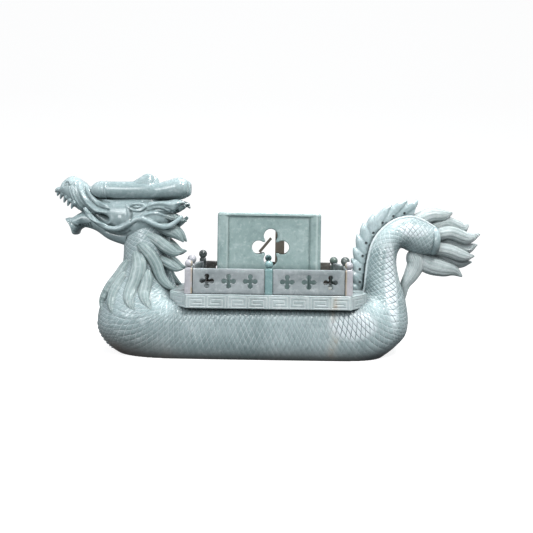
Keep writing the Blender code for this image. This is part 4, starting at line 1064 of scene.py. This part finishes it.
raised = np.zeros(len(coordinates))
sunk = np.zeros(len(coordinates))
sideways = smooth_step(0.15, 0.6, np.abs(normals[:, 1])) * smooth_step(3.0, 6.0, np.abs(coordinates[:, 1]))
for path, half, height in STROKES:
    near_path = to_segments(coordinates[:, [0, 2]], through(path, 24))
    to_end = np.linalg.norm(coordinates[:, [0, 2]] - path[-1], axis=1)
    ending = smooth_step(0.0, 8.0, to_end) if height > 0.85 and len(path) > 4 and path[0] != path[-1] else 1.0
    profile = np.exp(-((near_path / half) ** 2)) * sideways * ending
    raised += height * profile
    # Cut strokes also take painted shade in their hollows, kept as "shade".
    if height < 0:
        sunk = np.maximum(sunk, profile * min(1.0, 0.3 - 0.3 * height))
# Painted shade over the cheek, darkest at its middle, to dim its highlight.
from_cheek = (coordinates[:, 0] - CHEEK[0]) ** 2 + (coordinates[:, 2] - CHEEK[2]) ** 2
sunk = np.maximum(sunk, CHEEK_PAINTED_SHADE * np.exp(-from_cheek / CHEEK_SHADE_SPREAD) * sideways)
coordinates += normals * raised[:, None]
head.data.vertices.foreach_set("co", (coordinates * MM).astype(np.float32).reshape(-1))
paint(head.data, "shade", sunk)
head.data.update()


# Horns. Each is left standing from the block and lies back over the head. It is ground round and polished,
# with turned rings near its root, one short branch and a rimmed flat end.
HORN = [
    (-154.6, 139.1, 3.4), (-151.0, 139.2, 6.4), (-146.3, 139.3, 7.9), (-142.6, 139.3, 7.6),
    (-141.0, 139.3, 8.4), (-139.2, 139.3, 7.7), (-120.7, 139.0, 8.1), (-106.5, 139.4, 8.2),
    (-97.7, 138.8, 7.3), (-88.6, 140.1, 8.2), (-78.6, 142.1, 9.1), (-72.8, 142.7, 7.4), (-70.0, 142.8, 5.2),
]
HORN_BRANCH = [
    (-130.0, 138.0, -97.0, 138.0, 7.0, 0.65, 2.0),
    (-123.0, 144.6, -98.0, 143.6, 6.6, 0.66, 2.0),
    (-117.2, 147.8, -99.0, 147.0, 5.8, 0.66, 2.0),
    (-112.2, 151.0, -99.8, 150.2, 4.6, 0.62, 2.0),
    (-109.0, 153.2, -100.8, 152.4, 3.4, 0.58, 2.0),
    (-106.8, 154.3, -102.6, 153.8, 1.6, 0.50, 2.0),
]
HORN_OFFSET = 9.8
HORN_RINGS = (-144.6, -142.0, -139.8, -137.6, -74.0)
HORN_VOXEL = 0.50

horn_curve = through(HORN, 150)
radius = horn_curve[:, 2] - sum(0.42 * np.exp(-(((horn_curve[:, 0] - x) / 0.45) ** 2)) for x in HORN_RINGS)
angle = 2 * math.pi * np.arange(56) / 56
for word, side in (("near", -1), ("far", 1)):
    x = np.broadcast_to(horn_curve[:, 0:1], (150, 56))
    y = side * HORN_OFFSET + radius[:, None] * np.sin(angle)
    z = horn_curve[:, 1:2] + radius[:, None] * np.cos(angle)
    horn = shell(np.stack([x, y, z], axis=2))
    branch_rings = rings_of(through(HORN_BRANCH, 40), 48) + [0.0, side * HORN_OFFSET, 0.0]
    horn_piece = carved(f"horn_{word}", [horn, shell(branch_rings)], CELADON_PLAIN)
    fused(horn_piece, HORN_VOXEL, 10)


# Teeth. Small pegs of the head's own stone, five on either side, left standing along the upper lip where
# the mouth was opened, and filed to points.
TEETH = [(-186.4, 136.2), (-183.2, 133.4), (-179.4, 130.2), (-175.6, 127.2), (-171.8, 124.8)]
TOOTH = [(0.6, 4.0, 1.9), (0.2, 1.2, 1.6), (-0.5, -1.0, 1.1), (-0.9, -2.6, 0.35)]
teeth = []
for side in (-1, 1):
    for number, (x, z) in enumerate(TEETH):
        y = side * (3.6 + 1.3 * number)
        peg = [(x + along, z + up, half) for along, up, half in TOOTH]
        teeth.append(strand(peg, y, y, 1.6, 5, 0.0, 20))
carved("teeth", teeth, CELADON_PLAIN)


# Railing posts. Eight little posts of three stones, each a square shaft with eased edges, a turned neck
# and a ball, glued to the deck.
LAVENDER_SHADES = ((0.55, 0.54, 0.575), (0.42, 0.43, 0.48), (0.72, 0.72, 0.75))
LAVENDER = polished_stone("lavender_stone", *LAVENDER_SHADES, streak=True)
TEAL = polished_stone("teal_stone", (0.25, 0.40, 0.41), (0.16, 0.29, 0.30), (0.50, 0.66, 0.66))
GREY = polished_stone("grey_stone", (0.16, 0.185, 0.18), (0.07, 0.085, 0.085), (0.30, 0.32, 0.31))
MOSS = polished_stone("grey_stone_green", (0.20, 0.26, 0.235), (0.12, 0.165, 0.15), (0.38, 0.43, 0.40))
POSTS = {
    "post_near_bow": (LAVENDER, "lavender_stone"),
    "post_near_middle": (TEAL, "teal_stone"),
    "post_near_stern": (LAVENDER, "lavender_stone"),
    "post_end_stern": (GREY, "grey_stone"),
    "post_far_stern": (MOSS, "grey_stone"),
    "post_far_middle": (TEAL, "teal_stone"),
    "post_far_bow": (GREY, "grey_stone"),
    "post_end_bow": (LAVENDER, "lavender_stone"),
}
POST_HALF = 3.1
SMALL_BALL = 3.3
LARGE_BALL = 4.0
SMALL_BALLED = ("post_near_bow", "post_near_middle", "post_near_stern", "post_far_middle")

for node, (material, record_slot) in POSTS.items():
    low, high = (np.array(corner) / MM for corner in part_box(node))
    middle = (low + high) / 2
    ball = SMALL_BALL if node in SMALL_BALLED else LARGE_BALL
    ball_z = high[2] - ball
    neck_z = ball_z - ball * 0.86
    tilt = np.linspace(-0.95, 1.5, 26)
    profile = [(POST_HALF, z, 6.0) for z in (low[2], low[2] + 0.2, *np.linspace(low[2] + 1, neck_z - 1.4, 16))]
    profile += [(POST_HALF - 0.25, neck_z - 0.9, 5.0), (2.75, neck_z - 0.5, 3.0), (2.3, neck_z - 0.1, 2.0)]
    profile += [(ball * math.cos(a), ball_z + ball * math.sin(a), 2.0) for a in tilt]
    profile = np.array(profile)
    turn = 2 * math.pi * (np.arange(64) + 0.5) / 64
    power = 2 / profile[:, 2:3]
    x = middle[0] + profile[:, 0:1] * np.sign(np.cos(turn)) * np.abs(np.cos(turn)) ** power
    y = middle[1] + profile[:, 0:1] * np.sign(np.sin(turn)) * np.abs(np.sin(turn)) ** power
    z = np.broadcast_to(profile[:, 1:2], x.shape)
    piece(node + "_stone", [shell(np.stack([x, y, z], axis=2))], material, record_slot, node, sharp=50)


# Railing panels. Slips of lavender-grey stone set between the posts, each sawn through with a row of
# quatrefoils whose rims, like the slip's own edges, are eased with a file.
PANEL = polished_stone("panel_stone", (0.41, 0.455, 0.475), (0.30, 0.345, 0.36), (0.60, 0.64, 0.66))
# Painted shade on the far railing: a darker, browner copy of the panel stone for panels between two far posts.
PANEL_SHADED = polished_stone("panel_stone_far_shaded", (0.165, 0.155, 0.14), (0.09, 0.08, 0.07), (0.30, 0.29, 0.27))
PANEL_THICKNESS = 4.0
PANEL_EASING = 0.42
FOIL_LOBE = 1.95
FOIL_REACH = 3.9
FOIL_NECK = 1.25
FOIL_MARGIN = 0.3


def foil(lobe, reach, neck, steps):
    """A cross of four round lobes on narrow necks. Each lobe starts and ends where the neck's edge meets it."""
    points = []
    opening = math.pi - math.asin(neck / lobe)
    for quarter in range(4):
        axis = quarter * math.pi / 2
        arc = np.linspace(-opening, opening, steps)
        along = np.append(reach + lobe * np.cos(arc), neck)
        across = np.append(lobe * np.sin(arc), neck)
        cosine, sine = math.cos(axis), math.sin(axis)
        points.append(np.stack([along * cosine - across * sine, along * sine + across * cosine], axis=1))
    return np.vstack(points)


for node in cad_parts:
    if not node.startswith("panel_"):
        continue
    low, high = (np.array(corner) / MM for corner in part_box(node))
    ends = []
    for word in node[6:].split("_to_"):
        post_low, post_high = (np.array(corner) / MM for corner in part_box("post_" + word))
        ends.append((post_low + post_high)[:2] / 2)
    run = ends[1] - ends[0]
    span = np.linalg.norm(run)
    run /= span
    square = np.array([-run[1], run[0]])
    main = 0 if abs(run[0]) > 0.5 else 1
    length = (high[main] - low[main] - PANEL_THICKNESS * abs(square[main])) / abs(run[main])
    height = high[2] - low[2]
    foils = 3 if abs(run[1]) < 0.5 else 2
    pitch = length / (foils + FOIL_MARGIN)
    loops = [np.array([(-length / 2, 0), (length / 2, 0), (length / 2, height), (-length / 2, height)])]
    for number in range(foils):
        middle = np.array([(number - (foils - 1) / 2) * pitch, height / 2])
        loops.append(middle + foil(FOIL_LOBE, FOIL_REACH, FOIL_NECK, 15))
    board = bmesh.new()
    for loop in loops:
        corners = [board.verts.new((x, -PANEL_THICKNESS / 2, z)) for x, z in loop]
        for first, second in zip(corners, corners[1:] + corners[:1]):
            board.edges.new((first, second))
    bmesh.ops.triangle_fill(board, edges=board.edges, use_beauty=True)
    made = bmesh.ops.extrude_face_region(board, geom=board.faces[:])
    moved = [item for item in made["geom"] if isinstance(item, bmesh.types.BMVert)]
    bmesh.ops.translate(board, vec=(0, PANEL_THICKNESS, 0), verts=moved)
    bmesh.ops.recalc_face_normals(board, faces=board.faces)
    rims = [edge for edge in board.edges if len(edge.link_faces) == 2 and edge.calc_face_angle() > 1.2]
    bmesh.ops.bevel(
        board, geom=rims, offset=PANEL_EASING, segments=2, profile=0.5, affect="EDGES", clamp_overlap=True
    )
    centre = (low + high) / 2
    for corner in board.verts:
        x, y, z = corner.co
        flat = centre[:2] + run * x + square * y
        corner.co = (flat[0] * MM, flat[1] * MM, (low[2] + z) * MM)
    panel_mesh = bpy.data.meshes.new(node + "_stone")
    board.to_mesh(panel_mesh)
    board.free()
    stone = PANEL_SHADED if node.count("far") == 2 else PANEL
    finish_piece(node + "_stone", panel_mesh, stone, (node,), sharp=28)


# Cabin. A hollow house of greener stone, open below. Its long walls are ground back between two rounded
# uprights and a lip, and sawn through with a quatrefoil; the far one keeps an upright bar and a stub.
GREEN_SHADES = ((0.375, 0.485, 0.480), (0.27, 0.375, 0.370), (0.58, 0.69, 0.68))
BROWN_GLOWING_SHADES = ((0.46, 0.41, 0.34), (0.24, 0.21, 0.17), (0.62, 0.58, 0.52))
GREEN = polished_stone("green_stone", *GREEN_SHADES, recess_shade=0.45)
# The tracery's brown stone glows a little: painted light in place of light passing through the thin stone.
BROWN_GLOWING = polished_stone("green_stone_brown_glowing", *BROWN_GLOWING_SHADES, recess_shade=0.0, painted_glow=0.20)
CABIN_WALL = 4.5
CABIN_ROUND = 2.4
CABIN_BAND = 9.8
CABIN_SINK = 1.4
CABIN_SWELL = 1.6
CABIN_LIP = 2.8
WINDOW_LOBE = 5.8
WINDOW_REACH = 10.0
WINDOW_NECK = 4.6
WINDOW_HEIGHT = 37.0
WINDOW_ASIDE = 1.3
WINDOW_FAR = 1.7
BAR_MIDDLE = 9.2
BAR_HALF = 4.3
STUB_PATH = [(-10.0, -6.4), (1.0, 7.0)]
STUB_HALF = 1.3
FOOT_SHADE = 0.62
FOOT_SHADE_LEVELS = (79.0, 72.0)
BAND_HIGHLIGHT = 0.9

low, high = (np.array(corner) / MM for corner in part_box("cabin"))
half_x, half_y = (high[0] - low[0]) / 2, (high[1] - low[1]) / 2
cabin_x = (high[0] + low[0]) / 2
foot, top = low[2], high[2]
run_x = np.linspace(-half_x + CABIN_ROUND, half_x - CABIN_ROUND, 181)
band = np.clip((half_x - np.abs(run_x)) / CABIN_BAND, 0, 1)
swell = CABIN_SWELL * (2 * band - 1) ** 2 * smooth_step(1.0, 0.98, band)
sunk = CABIN_SINK * smooth_step(0.93, 1.0, band)
bend = np.linspace(0, math.pi / 2, 7)[1:-1]
levels = np.concatenate(
    [
        np.linspace(foot, top - CABIN_LIP - 0.8, 20),
        np.linspace(top - CABIN_LIP - 0.6, top - CABIN_LIP, 5),
        top - CABIN_ROUND + CABIN_ROUND * np.sin(np.linspace(0, 1.45, 8)),
        [top],
    ]
)
walls = []
for level in levels:
    lip = smooth_step(top - CABIN_LIP - 0.7, top - CABIN_LIP, level)
    above = max(0.0, (level - (top - CABIN_ROUND)) / CABIN_ROUND)
    inset = CABIN_ROUND * (1 - math.sqrt(max(0.0, 1 - above**2)))
    wall_y = half_y - (swell + (sunk - swell) * (band >= 1)) * (1 - lip) - inset
    near_wall = np.stack([run_x * (half_x - inset - CABIN_ROUND) / run_x[-1], -wall_y], axis=1)
    corner_x = half_x - inset - CABIN_ROUND * (1 - np.sin(bend))
    corner = np.stack([corner_x, -half_y + inset + CABIN_ROUND * (1 - np.cos(bend))], axis=1)
    side_y = half_y - inset - CABIN_ROUND
    side = np.stack([np.full(9, half_x - inset), np.linspace(-side_y, side_y, 9)], axis=1)
    half_loop = np.vstack([near_wall, corner, side, (corner * [1, -1])[::-1]])
    walls.append(np.column_stack([np.vstack([half_loop, -half_loop]), np.full(2 * len(half_loop), level)]))
walls = np.array(walls) + [cabin_x, 0, 0]
cabin = piece("cabin_stone", [shell(walls)], GREEN, "green_stone", "cabin")


def window_ring(y, grown):
    """The window's outline at a depth, with its lobes and necks grown by the same amount."""
    wider = WINDOW_FAR if y > 0 else 0.0
    lobe, neck = WINDOW_LOBE + grown + 0.5 * wider, WINDOW_NECK + grown + 0.5 * wider
    outline = foil(lobe, WINDOW_REACH + wider, neck, 25)
    outline = outline + [cabin_x + WINDOW_ASIDE, foot + WINDOW_HEIGHT - 0.6 * wider]
    return np.stack([outline[:, 0], np.full(len(outline), y), outline[:, 1]], axis=1)


face = half_y - CABIN_SINK
depths = [(half_y + 1, 1.4), (face + 0.02, 0.62), (face - 0.55, 0.0), (1.0, 0.0)]
depths = [(-y, grown) for y, grown in depths] + depths[::-1]
window = cutter("cabin_window", [window_ring(y, grown) for y, grown in depths])
room_x, room_y = half_x - CABIN_WALL, half_y - CABIN_WALL
room_ring = np.array([(room_x, room_y), (-room_x, room_y), (-room_x, -room_y), (room_x, -room_y)])
room_ring = room_ring + [cabin_x, 0]
room = cutter("cabin_room", [np.column_stack([room_ring, np.full(4, z)]) for z in (foot - 5, top - CABIN_WALL)])
for tool in (room, window):
    cut_out = cabin.modifiers.new(tool.name, "BOOLEAN")
    cut_out.operation = "DIFFERENCE"
    cut_out.solver = "MANIFOLD"
    cut_out.object = tool
cut_mesh = bpy.data.meshes.new_from_object(cabin.evaluated_get(bpy.context.evaluated_depsgraph_get()))
cabin.modifiers.clear()
cut_mesh.shade_smooth()
cut_mesh.set_sharp_from_angle(angle=math.radians(32))
# Painted shade low on the cabin's walls, behind the railing, kept as "shade".
levels = np.array([corner.co.z for corner in cut_mesh.vertices]) / MM
paint(cut_mesh, "shade", FOOT_SHADE * smooth_step(*FOOT_SHADE_LEVELS, levels))
# Painted highlights: two pale upright lines on the rounded uprights, kept in the "cut" attribute.
aside = np.array([corner.co.x for corner in cut_mesh.vertices]) / MM - cabin_x
band_highlights = sum(np.exp(-(((aside - x) / BAND_HIGHLIGHT) ** 2)) for x in (CABIN_BAND - half_x - 1.2, half_x - 3.6))
cut_mesh.attributes["cut"].data.foreach_set("value", (0.9 * band_highlights).astype(np.float32))
cabin.data = cut_mesh
for tool in (room, window):
    bpy.data.objects.remove(tool)

bar_near, bar_far = half_y - 0.9 * CABIN_WALL, half_y - 0.35 * CABIN_WALL
reach = WINDOW_REACH + WINDOW_LOBE + 1.2
tracery = []
bar = np.array([(-BAR_HALF, -reach), (BAR_HALF, -reach), (BAR_HALF, reach), (-BAR_HALF, reach)]) + [BAR_MIDDLE, 0]
stub_start, stub_end = (np.array(point) for point in STUB_PATH)
across = np.array([stub_start[1] - stub_end[1], stub_end[0] - stub_start[0]])
across *= STUB_HALF / np.linalg.norm(across)
stub = np.array([stub_start - across, stub_start + across, stub_end + across, stub_end - across])
for outline in (bar, stub):
    flat = outline + [cabin_x + WINDOW_ASIDE, foot + WINDOW_HEIGHT]
    rings = [np.stack([flat[:, 0], np.full(4, y), flat[:, 1]], axis=1) for y in (bar_near, bar_far)]
    tracery.append(shell(np.array(rings)))
piece("cabin_tracery", tracery, BROWN_GLOWING, "green_stone", "cabin", sharp=30)

low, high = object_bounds()
